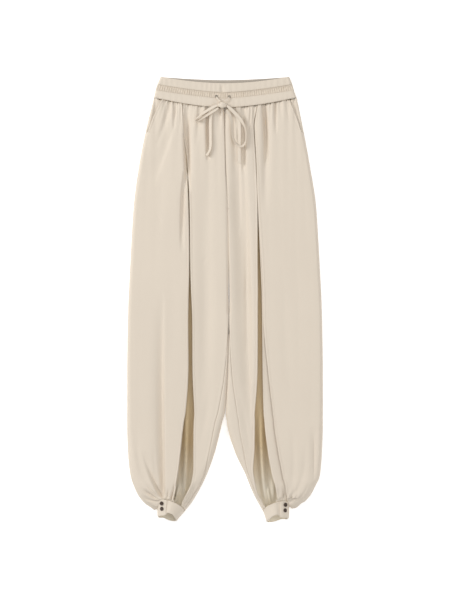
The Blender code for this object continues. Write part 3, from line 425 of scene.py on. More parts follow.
# %% A leg's surface
class Leg:
    """One leg with its half of the hips."""

    def __init__(self, table):
        self.c = columns(SECTION_NAMES, table)
        self.stations = np.arange(len(table), dtype=float)
        span = self.c["in_x"] - self.c["out_x"]
        for edge in ("side", "centre", "facing", "seam"):
            self.c[edge] = (self.c[edge] - self.c["out_x"]) / span

    def at(self, name, v):
        return ease(self.stations, self.c[name], v)

    def inside(self, v, fine):
        """Where the section ends inside, in plan. The cloth of the two legs meets above the gap."""
        meet = ease(MEET_AT, MEET_BY, np.clip(v, MEET_AT[0], MEET_AT[-1])) if fine else 0.0
        return self.at("in_x", v) - np.sign(self.c["out_x"][0]) * meet, self.at("in_y", v)

    def span(self, v):
        """Width of the section at v, in plan."""
        across = self.at("in_x", v) - self.at("out_x", v)
        along = self.at("in_y", v) - self.at("out_y", v)
        return np.hypot(across, along)

    def share(self, edge, v):
        """Where an edge lies across the section: 0 at the side, 1 inside."""
        if edge == "in":
            return 1 - 0.5 * SEAM_GAP / self.span(v)
        if edge == "pocket":
            return ease(POCKET_AT, POCKET_INSET, np.clip(v, 0, 1.15)) / self.span(v)
        return self.at(edge, v)

    def point(self, v, f, face, fine=True):
        """x, y run from the section's out end to its in end, leant across it; z rises over the
        rounded edges to the section's height, less the folds, creases and gathers."""
        v, f = np.broadcast_arrays(np.asarray(v, float), np.asarray(f, float))
        v, f = np.clip(v, 0, CUFF_END), np.clip(f, 0, 1)
        ox, oy = self.at("out_x", v), self.at("out_y", v)
        if fine and ox.flat[0] > 0:
            begins, ends = (v - FULLER_FROM) / FULLER_EASE, (FULLER_TO - v) / FULLER_EASE
            ox = ox + FULLER * smooth(begins) * smooth(ends)
        ix, iy = self.inside(v, fine)
        span = np.hypot(ix - ox, iy - oy)
        e_out, e_in = f * span, (1 - f) * span
        roll = self.at("roll", v)
        parted = smooth((v - LEGS_PART_AT) / LEGS_PART_OVER)
        tight = 1 - 0.6 * np.exp(-(((v - TIGHT_AT) / TIGHT_OVER) ** 2)) if fine else 1.0
        inner = 1 - parted * (1 - rolled(e_in, np.minimum(roll, 0.5 * span) * tight))
        rise = np.minimum(rolled(e_out, roll), inner)
        lean = face * self.at("lean_front" if face > 0 else "lean_back", v) * rise
        side = np.sign(ix - ox)
        pouch = np.exp(-((e_out / HANG_REACH[face]) ** 2))
        at_pouch = np.exp(-(((v - POUCH_AT) / POUCH_LONG) ** 2))
        tuck = side * POUCH_TUCK * at_pouch if fine else 0.0
        x = ox + f * (ix - ox) - side * (iy - oy) / span * lean
        x = x + pouch * (self.at("hang_x", v) + tuck)
        y = oy + f * (iy - oy) + side * (ix - ox) / span * lean + pouch * self.at("hang_y", v)
        droop = self.at("droop", v)
        y = y + droop * SEAM_DIP * ((1 - f) ** SEAM_POWER - (1 - f))
        height = self.at("height", v)
        on_leg = v < CUFF_TOP
        above = np.interp(v, GATHER_AT, GATHER_ABOVE)
        if face < 0:
            y = y + droop * BACK_RISE * (1 - (1 - f) ** 2)
            lift = fold_depth(BACK_FOLDS, x, y)
            z = (0.5 * height - 0.5 * SEAM_GAP) * (1 - rise) - lift * rise
            if fine:
                z = z + 0.35 * on_leg * cuff_gathers(above, f) * rise
        else:
            low = 0.5 * (height + SEAM_GAP)
            z = low + (height - low) * rise
            depth = fold_depth(FOLDS, x, y)
            if fine:
                depth = FOLD_STRENGTH * depth + fold_depth(CREASES, x, y)
                depth = depth + fold_depth(TUCKS, x, y, TUCK_EDGE)
                depth = depth + waist_gathers(SECTION_PITCH * v, x) * (v < 4)
                depth = depth + cuff_gathers(above, f)
                depth = held_above_cuff(depth, above)
            z = z - depth * rise * on_leg
        return np.stack([x, y, z], -1)


LEGS = {"left": Leg(LEFT_SECTIONS), "right": Leg(RIGHT_SECTIONS)}
for side_name, leg in LEGS.items():
    print(side_name, "knee width", round(float(leg.span(np.array(6.0))), 1))

# %% [markdown]
# ## From a grid of points to cloth
# Every piece of cloth is a grid of points, a copy of it moved in by the cloth's thickness, and a
# narrow rim that closes the two. The grid also carries a flat map in metres, measured along its own
# rows and columns, so that the weave follows the cloth as it does on a real cut piece.

# %% Grid, flat map and closed cloth
def run_length(points, axis):
    """Distance walked along an axis of a grid, starting at 0."""
    step = np.linalg.norm(np.diff(points, axis=axis), axis=-1)
    pad = [(0, 0)] * step.ndim
    pad[axis] = (1, 0)
    return np.pad(np.cumsum(step, axis=axis), pad)


def grid_normals(points, outward=1.0):
    """Unit normals: the cross product of the differences across and down the grid."""
    down = np.gradient(points, axis=0)
    across = np.gradient(points, axis=1)
    n = outward * np.cross(across, down)
    return n / np.maximum(np.linalg.norm(n, axis=-1, keepdims=True), 1e-9)


def mesh_piece(name, points, faces, flat_map=None, sharp=0.9, sides=None):
    """A mesh object from points in millimetres, with its flat map in metres. sides gives each face
    its material: 0 for the right side of the cloth, 1 for the wrong side."""
    mesh = bpy.data.meshes.new(name)
    faces = faces if isinstance(faces, list) else faces.tolist()
    mesh.from_pydata((points * MM).tolist(), [], faces)
    if sides is not None:
        mesh.polygons.foreach_set("material_index", sides.astype(np.int32))
    mesh.validate()
    mesh.shade_smooth()
    mesh.set_sharp_from_angle(angle=sharp)
    if flat_map is not None:
        corners = np.empty(len(mesh.loops), np.int32)
        mesh.loops.foreach_get("vertex_index", corners)
        layer = mesh.uv_layers.new(name="flat_map")
        layer.data.foreach_set("uv", flat_map[corners].astype(np.float32).ravel())
    made = bpy.data.objects.new(name, mesh)
    bpy.context.scene.collection.objects.link(made)
    return made


def cloth(name, outer, normals, wall, right_side, keep=None, wrong_side=None):
    """The outer grid, its copy moved in by wall along the normals, and a rim round the cells that
    are kept. No point of the outer grid goes below the table."""
    outer = np.concatenate([outer[..., :2], np.maximum(outer[..., 2:], 0.0)], -1)
    rows, cols = outer.shape[:2]
    both = np.concatenate([outer.reshape(-1, 3), (outer - wall * normals).reshape(-1, 3)])
    down = run_length(outer, 0)[:, [cols // 2]] + 0 * outer[..., 0]
    flat = np.stack([run_length(outer, 1), down], -1)
    flat = np.concatenate([flat.reshape(-1, 2)] * 2) * MM
    index = np.arange(rows * cols).reshape(rows, cols)
    keep = np.ones((rows - 1, cols - 1), bool) if keep is None else keep
    a, b = index[:-1, :-1][keep], index[:-1, 1:][keep]
    c, d = index[1:, 1:][keep], index[1:, :-1][keep]
    points = outer.reshape(-1, 3)
    facing = np.cross(points[b] - points[a], points[d] - points[a]) * normals.reshape(-1, 3)[a]
    if facing.sum() < 0:
        b, d = d, b
    edges = np.concatenate([np.stack(pair, 1) for pair in ((a, b), (b, c), (c, d), (d, a))])
    shift = rows * cols
    key = edges.min(1).astype(np.int64) * shift + edges.max(1)
    _, first, count = np.unique(key, return_index=True, return_counts=True)
    rim = edges[first[count == 1]]
    faces = np.concatenate([
        np.stack([a, b, c, d], 1),
        np.stack([d, c, b, a], 1) + shift,
        np.stack([rim[:, 1], rim[:, 0], rim[:, 0] + shift, rim[:, 1] + shift], 1),
    ])
    sides = np.zeros(len(faces))
    sides[len(a) : 2 * len(a)] = 1
    used, faces = np.unique(faces, return_inverse=True)
    made = mesh_piece(name, both[used], faces.reshape(-1, 4), flat[used], sides=sides)
    made.data.materials.append(right_side)
    made.data.materials.append(wrong_side or WRONG_SIDE_SHADE)
    return made


# %% [markdown]
# ## The cloth's finish
# The trousers are cut from a fine cream twill with a slight lustre. Its weave is made of narrow
# slanting ribs, about half a millimetre apart, crossed by a softer thread line. Both read the flat
# map. Slow changes of colour stand for the way that dye takes and the cloth has been handled. This
# is one node group, because the panels, the bands and the ties share it.

# %% Weave group
CREAM = (0.745, 0.655, 0.545)
RIBS_PER_METRE = 1900.0
WEAVE_DEPTH = 0.05


def new_group(name, inputs, outputs):
    """An empty node group with float, colour or vector sockets."""
    group = bpy.data.node_groups.new(name, "ShaderNodeTree")
    for label, kind, value in inputs:
        socket = group.interface.new_socket(label, in_out="INPUT", socket_type=kind)
        socket.default_value = value
    for label, kind in outputs:
        group.interface.new_socket(label, in_out="OUTPUT", socket_type=kind)
    return group, group.nodes.new("NodeGroupInput"), group.nodes.new("NodeGroupOutput")


def maths(group, operation, a, b=None):
    """A Math node; a and b are sockets or numbers."""
    node = group.nodes.new("ShaderNodeMath")
    node.operation = operation
    for socket, value in zip(node.inputs, (a, b)):
        if value is None:
            continue
        if isinstance(value, (int, float)):
            socket.default_value = value
        else:
            group.links.new(value, socket)
    return node.outputs[0]


def weave_group():
    """Height = twill ribs + thread line + slubs; colour = base times slow and fine changes."""
    group, inside, out = new_group(
        "fine_twill",
        [
            ("Cloth Color", "NodeSocketColor", (*CREAM, 1)),
            ("Ribs Per Metre", "NodeSocketFloat", RIBS_PER_METRE),
            ("Mottle", "NodeSocketFloat", 0.05),
        ],
        [
            ("Color", "NodeSocketColor"),
            ("Height", "NodeSocketFloat"),
            ("Roughness", "NodeSocketFloat"),
        ],
    )
    link = group.links.new
    flat = group.nodes.new("ShaderNodeUVMap")
    flat.uv_map = "flat_map"
    split = group.nodes.new("ShaderNodeSeparateXYZ")
    link(flat.outputs[0], split.inputs[0])
    ribs = inside.outputs["Ribs Per Metre"]
    slant = maths(group, "MULTIPLY", maths(group, "ADD", split.outputs[0], split.outputs[1]), ribs)
    rib = maths(group, "SINE", maths(group, "MULTIPLY", slant, 2 * math.pi))
    thread = maths(group, "MULTIPLY", maths(group, "MULTIPLY", split.outputs[0], ribs), 4 * math.pi)
    thread = maths(group, "SINE", thread)
    slub = group.nodes.new("ShaderNodeTexNoise")
    stretch = group.nodes.new("ShaderNodeMapping")
    stretch.inputs["Scale"].default_value = (2200, 160, 1)
    link(flat.outputs[0], stretch.inputs["Vector"])
    link(stretch.outputs[0], slub.inputs["Vector"])
    slub.inputs["Scale"].default_value = 1.0
    slub.inputs["Detail"].default_value = 2.0
    height = maths(group, "MULTIPLY", rib, 0.30)
    height = maths(group, "ADD", height, maths(group, "MULTIPLY", thread, 0.12))
    height = maths(group, "ADD", height, maths(group, "MULTIPLY", slub.outputs["Fac"], 0.6))
    link(height, out.inputs["Height"])
    place = group.nodes.new("ShaderNodeTexCoord")
    slow = group.nodes.new("ShaderNodeTexNoise")
    slow.inputs["Scale"].default_value = 9.0
    slow.inputs["Detail"].default_value = 3.0
    link(place.outputs["Object"], slow.inputs["Vector"])
    fine = maths(group, "SUBTRACT", slub.outputs["Fac"], 0.5)
    tone = maths(group, "SUBTRACT", slow.outputs["Fac"], 0.5)
    tone = maths(group, "ADD", tone, maths(group, "MULTIPLY", fine, 0.5))
    tone = maths(group, "ADD", 1.0, maths(group, "MULTIPLY", tone, inside.outputs["Mottle"]))
    tint = group.nodes.new("ShaderNodeVectorMath")
    tint.operation = "SCALE"
    link(inside.outputs["Cloth Color"], tint.inputs[0])
    link(tone, tint.inputs["Scale"])
    link(tint.outputs[0], out.inputs["Color"])
    rough = maths(group, "MULTIPLY", maths(group, "SUBTRACT", slow.outputs["Fac"], 0.5), 0.12)
    link(maths(group, "ADD", 0.62, rough), out.inputs["Roughness"])
    return group


WEAVE = weave_group()


# %% [markdown]
# Each finish is a material that holds the weave's node group with a colour and a mottle of its own.
# A Bump node turns the weave's height into small slopes, which catch the light as threads do.

# %% Finishes of the cloth
def cloth_finish(name, colour=CREAM, mottle=0.05):
    """Principled cloth: the weave's colour and roughness, and a Bump of its height."""
    made = bpy.data.materials.new(name)
    made.use_nodes = True
    tree = made.node_tree
    shader = tree.nodes["Principled BSDF"]
    weave = tree.nodes.new("ShaderNodeGroup")
    weave.node_tree = WEAVE
    weave.inputs["Cloth Color"].default_value = (*colour, 1)
    weave.inputs["Ribs Per Metre"].default_value = RIBS_PER_METRE
    weave.inputs["Mottle"].default_value = mottle
    bump = tree.nodes.new("ShaderNodeBump")
    bump.inputs["Strength"].default_value = 0.35
    bump.inputs["Distance"].default_value = WEAVE_DEPTH * MM
    tree.links.new(weave.outputs["Height"], bump.inputs["Height"])
    tree.links.new(weave.outputs["Color"], shader.inputs["Base Color"])
    tree.links.new(weave.outputs["Roughness"], shader.inputs["Roughness"])
    tree.links.new(bump.outputs["Normal"], shader.inputs["Normal"])
    shader.inputs["Sheen Weight"].default_value = 0.25
    shader.inputs["Sheen Roughness"].default_value = 0.45
    shader.inputs["Specular IOR Level"].default_value = 0.35
    return made


PANEL_CLOTH = cloth_finish("cream_twill")
BAND_CLOTH = cloth_finish("cream_twill_gathered", mottle=0.07)
# The shirred strip's darker colour is painted shade, for the shadow between its fine ribs.
SHIRRED_SHADE_CLOTH = cloth_finish("cream_twill_shirred_painted_shade", colour=(0.69, 0.60, 0.49), mottle=0.09)
# The bands' inner faces are darker as painted shade; they show behind the front band and at
# eyelets.
BAND_INSIDE_SHADE = cloth_finish("cream_twill_band_inside_painted_shade", colour=(0.50, 0.44, 0.37), mottle=0.07)
TIE_CLOTH = cloth_finish("cream_twill_ties", mottle=0.06)

# %% [markdown]
# ## The wrong side
# Through the slits one looks on the wrong side of the cloth. Its golden colour is painted shade,
# the warm shadow inside the slits. Towards the cuffs, where it is gathered, a lighter colour is
# painted light. A mask along the garment's length mixes the two colours before they go into the
# weave.

# %% Wrong side
# Inner faces of the panels and cuffs: their golden colour is painted shade.
WRONG_SIDE_SHADE = cloth_finish("cream_twill_wrong_side_painted_shade", colour=(0.74, 0.57, 0.335), mottle=0.08)
# Lighter than the cloth's own colour: painted light towards the cuffs.
PAINTED_LIGHT_INSIDE = (0.84, 0.76, 0.62)
PAINTED_LIGHT_FROM, PAINTED_LIGHT_TO = -0.335, -0.440


def paint_light_towards_cuffs(material, lit_colour):
    """Mixes a lighter colour in, painted light, as the object's y goes from PAINTED_LIGHT_FROM to
    PAINTED_LIGHT_TO, in metres.
    """
    tree = material.node_tree
    weave = next(node for node in tree.nodes if node.type == "GROUP")
    place = tree.nodes.new("ShaderNodeTexCoord")
    split = tree.nodes.new("ShaderNodeSeparateXYZ")
    along = tree.nodes.new("ShaderNodeMapRange")
    along.inputs["From Min"].default_value = PAINTED_LIGHT_FROM
    along.inputs["From Max"].default_value = PAINTED_LIGHT_TO
    mix = tree.nodes.new("ShaderNodeMix")
    mix.data_type = "RGBA"
    colours = [socket for socket in mix.inputs if socket.type == "RGBA"]
    colours[0].default_value = weave.inputs["Cloth Color"].default_value
    colours[1].default_value = (*lit_colour, 1)
    tree.links.new(place.outputs["Object"], split.inputs[0])
    tree.links.new(split.outputs["Y"], along.inputs["Value"])
    tree.links.new(along.outputs["Result"], mix.inputs[0])
    out = next(socket for socket in mix.outputs if socket.type == "RGBA")
    tree.links.new(out, weave.inputs["Cloth Color"])


paint_light_towards_cuffs(WRONG_SIDE_SHADE, PAINTED_LIGHT_INSIDE)
print("finishes", [m.name for m in bpy.data.materials if m.name.startswith("cream")])

# %% [markdown]
# ## Front and back panels
# The front of each leg is two panels, with the slit between them. The outer one starts at the
# pocket's slanting edge, and below it at the side fold. The back is one piece that runs round the
# side fold, under the leg, and up to the inside-leg seam. Each panel is a sheet that follows the
# leg's surface and rests on what lies under it.

# %% Panels of the legs
CLOTH_WALL = 0.9


def even_rows(leg, start, stop, count, extra=()):
    """Values of v that step evenly down the middle of the leg."""
    v = np.linspace(start, stop, 1500)
    walked = run_length(leg.point(v, 0.5, 1, fine=False), 0)
    rows = np.interp(np.linspace(0, walked[-1], count), walked, v)
    return np.unique(np.concatenate([rows, extra]))


def edge_first(count, width):
    """Places from 0 to 1 that are closer together near 0: a blend of t, with weight 1 - width, and
    of 1 - cos(t * pi / 2), with weight width."""
    t = np.linspace(0, 1, count)
    return t * (1 - width) + width * (1 - np.cos(t * np.pi / 2))


def turned_edge(e, v):
    """Rise of the cloth e in from a turned and stitched edge: it rounds off, swells where the
    cloth is double, and dips at the stitches."""
    rise = 0.5 * np.exp(-(((e - 1.8) / 1.4) ** 2)) - 1.2 * (1 - rolled(e, 1.5))
    return rise - 0.3 * np.exp(-(((e - 6.2) / 0.9) ** 2))


def seam_edge(e, v):
    """Rise of the cloth e in from a seam: the edge rolls in, most at the front opening's mock fly,
    and the turnings swell beside it."""
    depth = 0.8 + 1.0 * (1 - smooth((v - 2.2) / 1.0))
    return 0.3 * np.exp(-(((e - 3.2) / 2.0) ** 2)) - depth * (1 - rolled(e, 2.0))


def panel(name, leg, rows, shares, sink=0.0, start=None, end=None, upto=99.0):
    """A cut piece of a leg's front. start and end shape its two long edges, the first one down to
    upto, and sink lowers the whole piece."""
    v = np.repeat(rows[:, None], shares.shape[1], 1)
    outer = leg.point(v, shares, 1)
    n = grid_normals(outer)
    n *= np.sign(n[..., 2].sum())
    n[shares < 1e-9, 2] = 0
    n /= np.linalg.norm(n, axis=-1, keepdims=True)
    across = run_length(outer, 1)
    for place, edge, e in (("start", start, across), ("end", end, across[:, -1:] - across)):
        if edge is not None:
            here = (v < upto) | (place == "end")
            outer = outer + (edge(e, v) * here)[..., None] * n
    outer = outer - np.broadcast_to(sink, v.shape)[..., None] * n
    made = cloth(name, outer, n, CLOTH_WALL, PANEL_CLOTH)
    cells = np.cross(np.diff(outer, axis=0)[:, :-1], np.diff(outer, axis=1)[:-1])
    area = np.linalg.norm(cells, axis=-1).sum()
    return made, outer, n, area * MM * MM


def settle(made, nodes, flat, area):
    """Attaches a piece to the root and hides the solids that it stands for. flat, its size in
    metres, and area only give a value that is not used.
    """
    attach(made, "root")
    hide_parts(*nodes)
    width, length = flat
    area = min(max(area, 0.31 * width * length), width * length)


LEG_LAST = 13.95
SLIT_AT = np.array([1.6, 2.4, 3.2, 4.0, 4.8])
SLIT_PARTED = np.array([0.0, 1.1, 1.9, 1.9, 0.0])
SURFACES = {}
for side_name, leg in LEGS.items():
    rows = even_rows(leg, 0, LEG_LAST, 270, extra=[1.15, 1.154])
    span = leg.span(rows)

    start = np.where(rows < POCKET_END, leg.share("pocket", rows), 0) * span
    stop = leg.share("side", rows) * span
    if side_name == "left":
        stop = stop - np.interp(rows, SLIT_AT, SLIT_PARTED)
    t = edge_first(82, 0.45)
    shares = (start[:, None] + (stop - start)[:, None] * t) / span[:, None]
    made, outer, n, area = panel(
        f"cloth_front_side_{side_name}", leg, rows, shares,
        start=turned_edge, end=turned_edge, upto=POCKET_END,
    )
    SURFACES["side", side_name] = (rows, outer, n)
    settle(made, [f"front_side_{side_name}"], (0.19, 1.0), area)

    start = leg.share("centre", rows) * span
    above = leg.share("in", rows) * span
    below = leg.share("seam", rows) * span - 0.5 * SEAM_GAP
    stop = np.where(rows < CROTCH, above, np.minimum(below, above))
    t = 0.5 - 0.5 * np.cos(np.pi * np.linspace(0, 1, 76))
    t = 0.55 * t + 0.45 * np.linspace(0, 1, 76)
    shares = (start[:, None] + (stop - start)[:, None] * t) / span[:, None]
    made, outer, n, area = panel(
        f"cloth_front_centre_{side_name}", leg, rows, shares, start=turned_edge, end=seam_edge
    )
    SURFACES["centre", side_name] = (rows, outer, n)
    settle(made, [f"front_centre_{side_name}"], (0.13, 1.0), area)
    print(side_name, "front panels", len(rows), "rows, centre panel area", round(area, 3))


# %% [markdown]
# The back panel lies under the front. It runs from the side seam flat along the table, wraps the
# inside of the leg and comes up over the front. Above the crotch the cells of that last part are
# left out, because there the two legs' fronts meet at the centre seam.

# %% Back panels
def back_panel(side_name, leg, rows):
    """Side fold, floor, inside leg, and up over the front as far as the inside-leg seam."""
    span = leg.span(rows)[:, None]
    top = leg.share("in", rows)[:, None]
    t = np.linspace(0, 1, 84)
    t = 0.5 - 0.5 * np.cos(np.pi * t) * (0.55 + 0.45 * np.abs(np.cos(np.pi * t)))
    t = 0.5 * t + 0.5 * np.linspace(0, 1, 84)
    under = np.minimum(t[None] + 0 * span, top)
    reach = np.maximum((1 - leg.share("seam", rows)[:, None]) * span - 0.5 * SEAM_GAP, 1.0)
    over = np.minimum(1 - reach * (1 - np.cos(np.linspace(0, np.pi / 2, 16))) / span, top)
    v = rows[:, None]
    below, above = leg.point(v + 0 * under, under, -1), leg.point(v + 0 * over, over, 1)
    outer = np.concatenate([below, above], 1)
    n = grid_normals(outer)
    n *= -np.sign(n[:, :80, 2].sum())
    n[:, 0, 2] = 0
    n /= np.maximum(np.linalg.norm(n, axis=-1, keepdims=True), 1e-9)
    across = run_length(outer, 1)
    rise = seam_edge(across[:, -1:] - across, v) * smooth((v - 5.4) / 0.4)
    outer = outer + rise[..., None] * n
    keep = np.ones((len(rows) - 1, outer.shape[1] - 1), bool)
    keep[rows[:-1] < CROTCH + 0.3, under.shape[1] - 1 :] = False
    return cloth(f"cloth_back_{side_name}", outer, n, CLOTH_WALL, PANEL_CLOTH, keep)


for side_name, leg in LEGS.items():
    rows = even_rows(leg, 0, LEG_LAST, 230)
    made = back_panel(side_name, leg, rows)
    settle(made, [f"back_{side_name}"], (0.25, 1.0), 0.235)
    print("back", side_name, len(made.data.polygons), "faces")

# %% [markdown]
# In each slanted pocket mouth the edge of the pocket bag shows. It starts at the side seam, follows
# the leg's surface and goes lower as it passes under the front panel.

# %% Pocket facings
POCKET_SINK = 3.6
for side_name, leg in LEGS.items():
    rows = np.linspace(0, 1.144, 44)
    span = leg.span(rows)
    inset = leg.share("pocket", rows) * span
    place = (inset + 7.0)[:, None] * edge_first(20, 0.6)
    under = smooth(place / np.maximum(inset[:, None] - 0.6, 0.5))
    made, _, _, area = panel(
        f"cloth_pocket_{side_name}", leg, rows, place / span[:, None], sink=POCKET_SINK * under
    )
    settle(made, [f"pocket_facing_{side_name}"], (0.026, 0.09), area)
    print("pocket", side_name, "area", round(area, 4))

# %% [markdown]
# The right slit's turned-in facing shows beside its edge. It is a strip that lies deeper towards
# the slit, and comes up to the seam where the cuff takes it in.

# %% Strip behind the right slit
leg = LEGS["right"]
rows = even_rows(leg, 3.1, LEG_LAST, 170)
span = leg.span(rows)
edge = leg.share("side", rows) * span
start = edge - np.interp(rows, [10.0, 12.0], [7.0, -2.5])
stop = leg.share("facing", rows) * span
shares = (start[:, None] + (stop - start)[:, None] * np.linspace(0, 1, 14)) / span[:, None]
above_cuff = 1 - smooth((rows[:, None] - 12.6) / 1.2)
slope = 1.0 + (0.6 + 6.0 * (1 - np.linspace(0, 1, 14)) ** 1.6) * above_cuff
made, _, _, area = panel(
    "cloth_slit_strip_right", leg, rows, shares, sink=slope, end=turned_edge
)
settle(made, ["slit_facing_right"], (0.03, 0.55), area)
print("strip area", round(area, 4))

# %% [markdown]
# ## Cuffs
# Each cuff is a straight band, buttoned round the ankle. It starts under the tab, goes across the
# front, round the inside, under the leg and back over itself. The part under the tab lies lower.

# %% Cuffs
CUFF_WALL = 1.7
FRONT_COLS, BACK_COLS, TAB_COLS = 40, 46, 22
TAB_HANGS, TAB_BENDS_FROM, TAB_BENDS_OVER = 6.0, 72, 14.0
UNDER_TAB = 2.4
CUFF_MOUTH = 5.5


def cuff(side_name, leg):
    """One strip: front from under the tab, the inside edge, the back, and the tab on top."""
    front = np.linspace(0.16, 0.985, FRONT_COLS)
    back = np.linspace(0.985, 0.015, BACK_COLS)
    tab = np.linspace(0.0, 0.30, TAB_COLS)
    around = np.concatenate([front, [1.0], back, tab])
    column = np.arange(len(around))
    on_front = column <= FRONT_COLS
    top = on_front | (column > FRONT_COLS + BACK_COLS)
    sunk = UNDER_TAB * smooth((0.52 - around) / 0.2) * (column < FRONT_COLS)
    rows = np.linspace(CUFF_TOP + 0.01, CUFF_END, 22)
    v, f = np.meshgrid(rows, around, indexing="ij")
    outer = np.where(top[None, :, None], leg.point(v, f, 1), leg.point(v, f, -1))
    on_tab = smooth((column - TAB_BENDS_FROM) / TAB_BENDS_OVER) * smooth((0.34 - f) / 0.1)
    drop = np.array([0.9 * TAB_HANGS * np.sign(outer[0, 0, 0]), -TAB_HANGS, 0.0])
    outer = outer + (on_tab * smooth(v - CUFF_TOP) * (1 - f / 0.5))[..., None] * drop
    raised = CUFF_MOUTH * smooth(v - CUFF_TOP)
    raised = raised * smooth((f - 0.22) / 0.2) * smooth((0.98 - f) / 0.3)
    outer[..., 1] += np.where(on_front, raised, 0)
    n = grid_normals(outer)
    n *= -np.sign(n[:, ~top, 2].sum())
    outer = outer - sunk[None, :, None] * n
    walked = run_length(outer, 0)
    e = np.minimum(walked, walked[-1:] - walked)
    long_edges = 0.35 * np.exp(-(((e - 2.2) / 2.0) ** 2)) - 0.7 * (1 - rolled(e, 1.6))
    outer = outer + long_edges[..., None] * n
    across = run_length(outer, 1)
    e = across[:, -1:] - across
    tab_end = 0.8 * (1 - rolled(e, 1.6)) + 0.2 * np.exp(-(((e - 3.2) / 0.8) ** 2))
    outer = outer - tab_end[..., None] * n
    return cloth(f"cloth_cuff_{side_name}", outer, n, CUFF_WALL, PANEL_CLOTH)


for side_name, leg in LEGS.items():
    made = cuff(side_name, leg)
    settle(made, [f"cuff_{side_name}"], (0.038, 0.17), 0.0062)
    print("cuff", side_name, len(made.data.polygons), "faces")

# %% [markdown]
# ## The waistband
# The waistband is one strip of doubled cloth with elastic inside, sewn through along two lines. The
# top is a plain casing, the middle is drawn into fine ribs, and the lowest part is the puffed
# tunnel that the drawstring runs in. All three lie between four lines across the waist. The ribs
# are a cosine with a wandering wave added, and fade out beside the eyelets.

# %% Waistband lines
WAIST_NAMES = "left right centre dip power height".split()
WAIST_LINES = (
    (-150.0, 152.5, 508.7, 15.55, 1.9, 12.0),
    (-158.0, 159.5, 487.0, 19.3, 1.5, 12.0),
    (-162.5, 163.5, 472.5, 19.5, 1.3, 12.5),
    (-166.0, 169.7, 451.1, 24.2, 1.7, 13.0),
)
WAIST = columns(WAIST_NAMES, WAIST_LINES)
WAIST_ROLL = 6.5
BAND_WALL = 1.6
EYELET_X = (-19.0, 11.3)
EYELET_WIDE = 5.6
EYELET_DOWN, EYELET_HALF = 0.72, 0.2
SHIRR_RIBS = 58 / 0.95
SHIRR_DEPTH = 0.6
CENTRE_TUCK_X = -4.5


def waist_at(name, w):
    return ease(np.arange(4.0), WAIST[name], w)


def uneven(x, pitch, seed):
    """A wave across x whose spacing and height wander, between about -1 and 1."""
    slow = 1.9 * np.sin(x / (2.7 * pitch) + seed) + 1.3 * np.sin(x / (1.3 * pitch) + 2.1 * seed)
    tall = 0.72 + 0.28 * np.sin(x / (1.9 * pitch) + 3.3 * seed)
    return np.sin(2 * np.pi * x / pitch + slow) * tall


def waist_point(w, u, face, bulge):
    """w runs down the lines and u from -1 to 1 across; y = centre + dip * |u|^power, and z rises
    over the rounded side folds to the band's height with its puff, ribs and ripples."""
    w, u = np.broadcast_arrays(np.asarray(w, float), np.asarray(u, float))
    u = np.clip(u, -1, 1)
    left, right = waist_at("left", w), waist_at("right", w)
    x = 0.5 * (left + right) + 0.5 * (right - left) * u
    y = waist_at("centre", w) + waist_at("dip", w) * np.abs(u) ** waist_at("power", w)
    e = (1 - np.abs(u)) * 0.5 * (right - left)
    rise = rolled(e, WAIST_ROLL)
    height = waist_at("height", w)
    strip = int(np.clip(np.floor(w.mean()), 0, 2))
    band = np.clip(w - strip, 0, 1)
    puff = np.sqrt(np.clip(np.sin(np.pi * band), 0, 1))
    seam = np.exp(-np.minimum(band, 1 - band) * 5.0)
    if strip == 0:
        ripple = 0.35 * uneven(x, 13.0, 0.7) * puff + 0.35 * uneven(x, 4.6, 1.4) * seam
        tuck = np.exp(-(((x - CENTRE_TUCK_X) / 4.5) ** 2))
        ripple = ripple - 2.4 * tuck * smooth(band / 0.6)
    elif strip == 1:
        ripple = SHIRR_DEPTH * np.cos(np.pi * SHIRR_RIBS * u) * puff - 1.3 * puff
        ripple = ripple + 0.38 * uneven(x, 3.7, 0.3) * (0.45 + 0.55 * puff)
        calm = sum(np.exp(-(((x - centre) / 5.0) ** 2)) for centre in EYELET_X)
        calm = np.clip(calm, 0, 1)
        ripple = ripple * (1 - 0.9 * calm) - 1.4 * calm
    else:
        ripple = 0.25 * uneven(x, 14.0, 2.2) * puff + 0.45 * uneven(x, 4.3, 0.9) * seam
        ripple = ripple - 1.3 * np.exp(-(1 - band) * 22.0)
    if face < 0:
        y = y + (BACK_RISE + 1.6) * (1 - u**2)
        z = (0.5 * height - 0.5 * SEAM_GAP) * (1 - rise) + np.clip(0.2 * ripple, 0, 1)
    else:
        low = 0.5 * (height + SEAM_GAP)
        z = low + (height + bulge * puff + ripple - low) * rise
    return np.stack([x, y, z], -1)


# %% [markdown]
# Each strip is a grid between two of the four lines. The shirred one in front has an eyelet on each
# side of the middle: a few of its cells are left out, and the inner cloth, coloured darker as
# painted shade, shows at their rim.

# %% Waistband strips
def waist_strip(name, line, face, bulge, rows, cols, holes=False):
    """One strip between two lines, with an opening where each end of the drawstring comes out."""
    gap = 0.5 * SEAM_GAP / 15.0
    w = np.linspace(line + gap, line + 1 - gap, rows)
    t = np.linspace(-1, 1, cols)
    u = np.sign(t) * (1 - (1 - np.abs(t)) ** 1.15)
    w, u = np.meshgrid(w, u, indexing="ij")
    outer = waist_point(w, u, face, bulge)
    n = grid_normals(outer)
    n *= np.sign(n[..., 2].sum()) * face
    n[:, [0, -1], 2] = 0
    n /= np.linalg.norm(n, axis=-1, keepdims=True)
    keep = np.ones((rows - 1, cols - 1), bool)
    if holes:
        mid = 0.25 * (outer[:-1, :-1] + outer[1:, :-1] + outer[:-1, 1:] + outer[1:, 1:])
        drop = 0.5 * (w[:-1, :-1] + w[1:, 1:]) - line
        for centre in EYELET_X:
            beside = np.abs(mid[..., 0] - centre) < 0.5 * EYELET_WIDE
            keep &= ~(beside & (np.abs(drop - EYELET_DOWN) < EYELET_HALF))
    # The shirred front strip's darker finish is painted shade.
    finish = SHIRRED_SHADE_CLOTH if line == 1 and face > 0 else BAND_CLOTH
    return cloth(name, outer, n, BAND_WALL, finish, keep, BAND_INSIDE_SHADE)


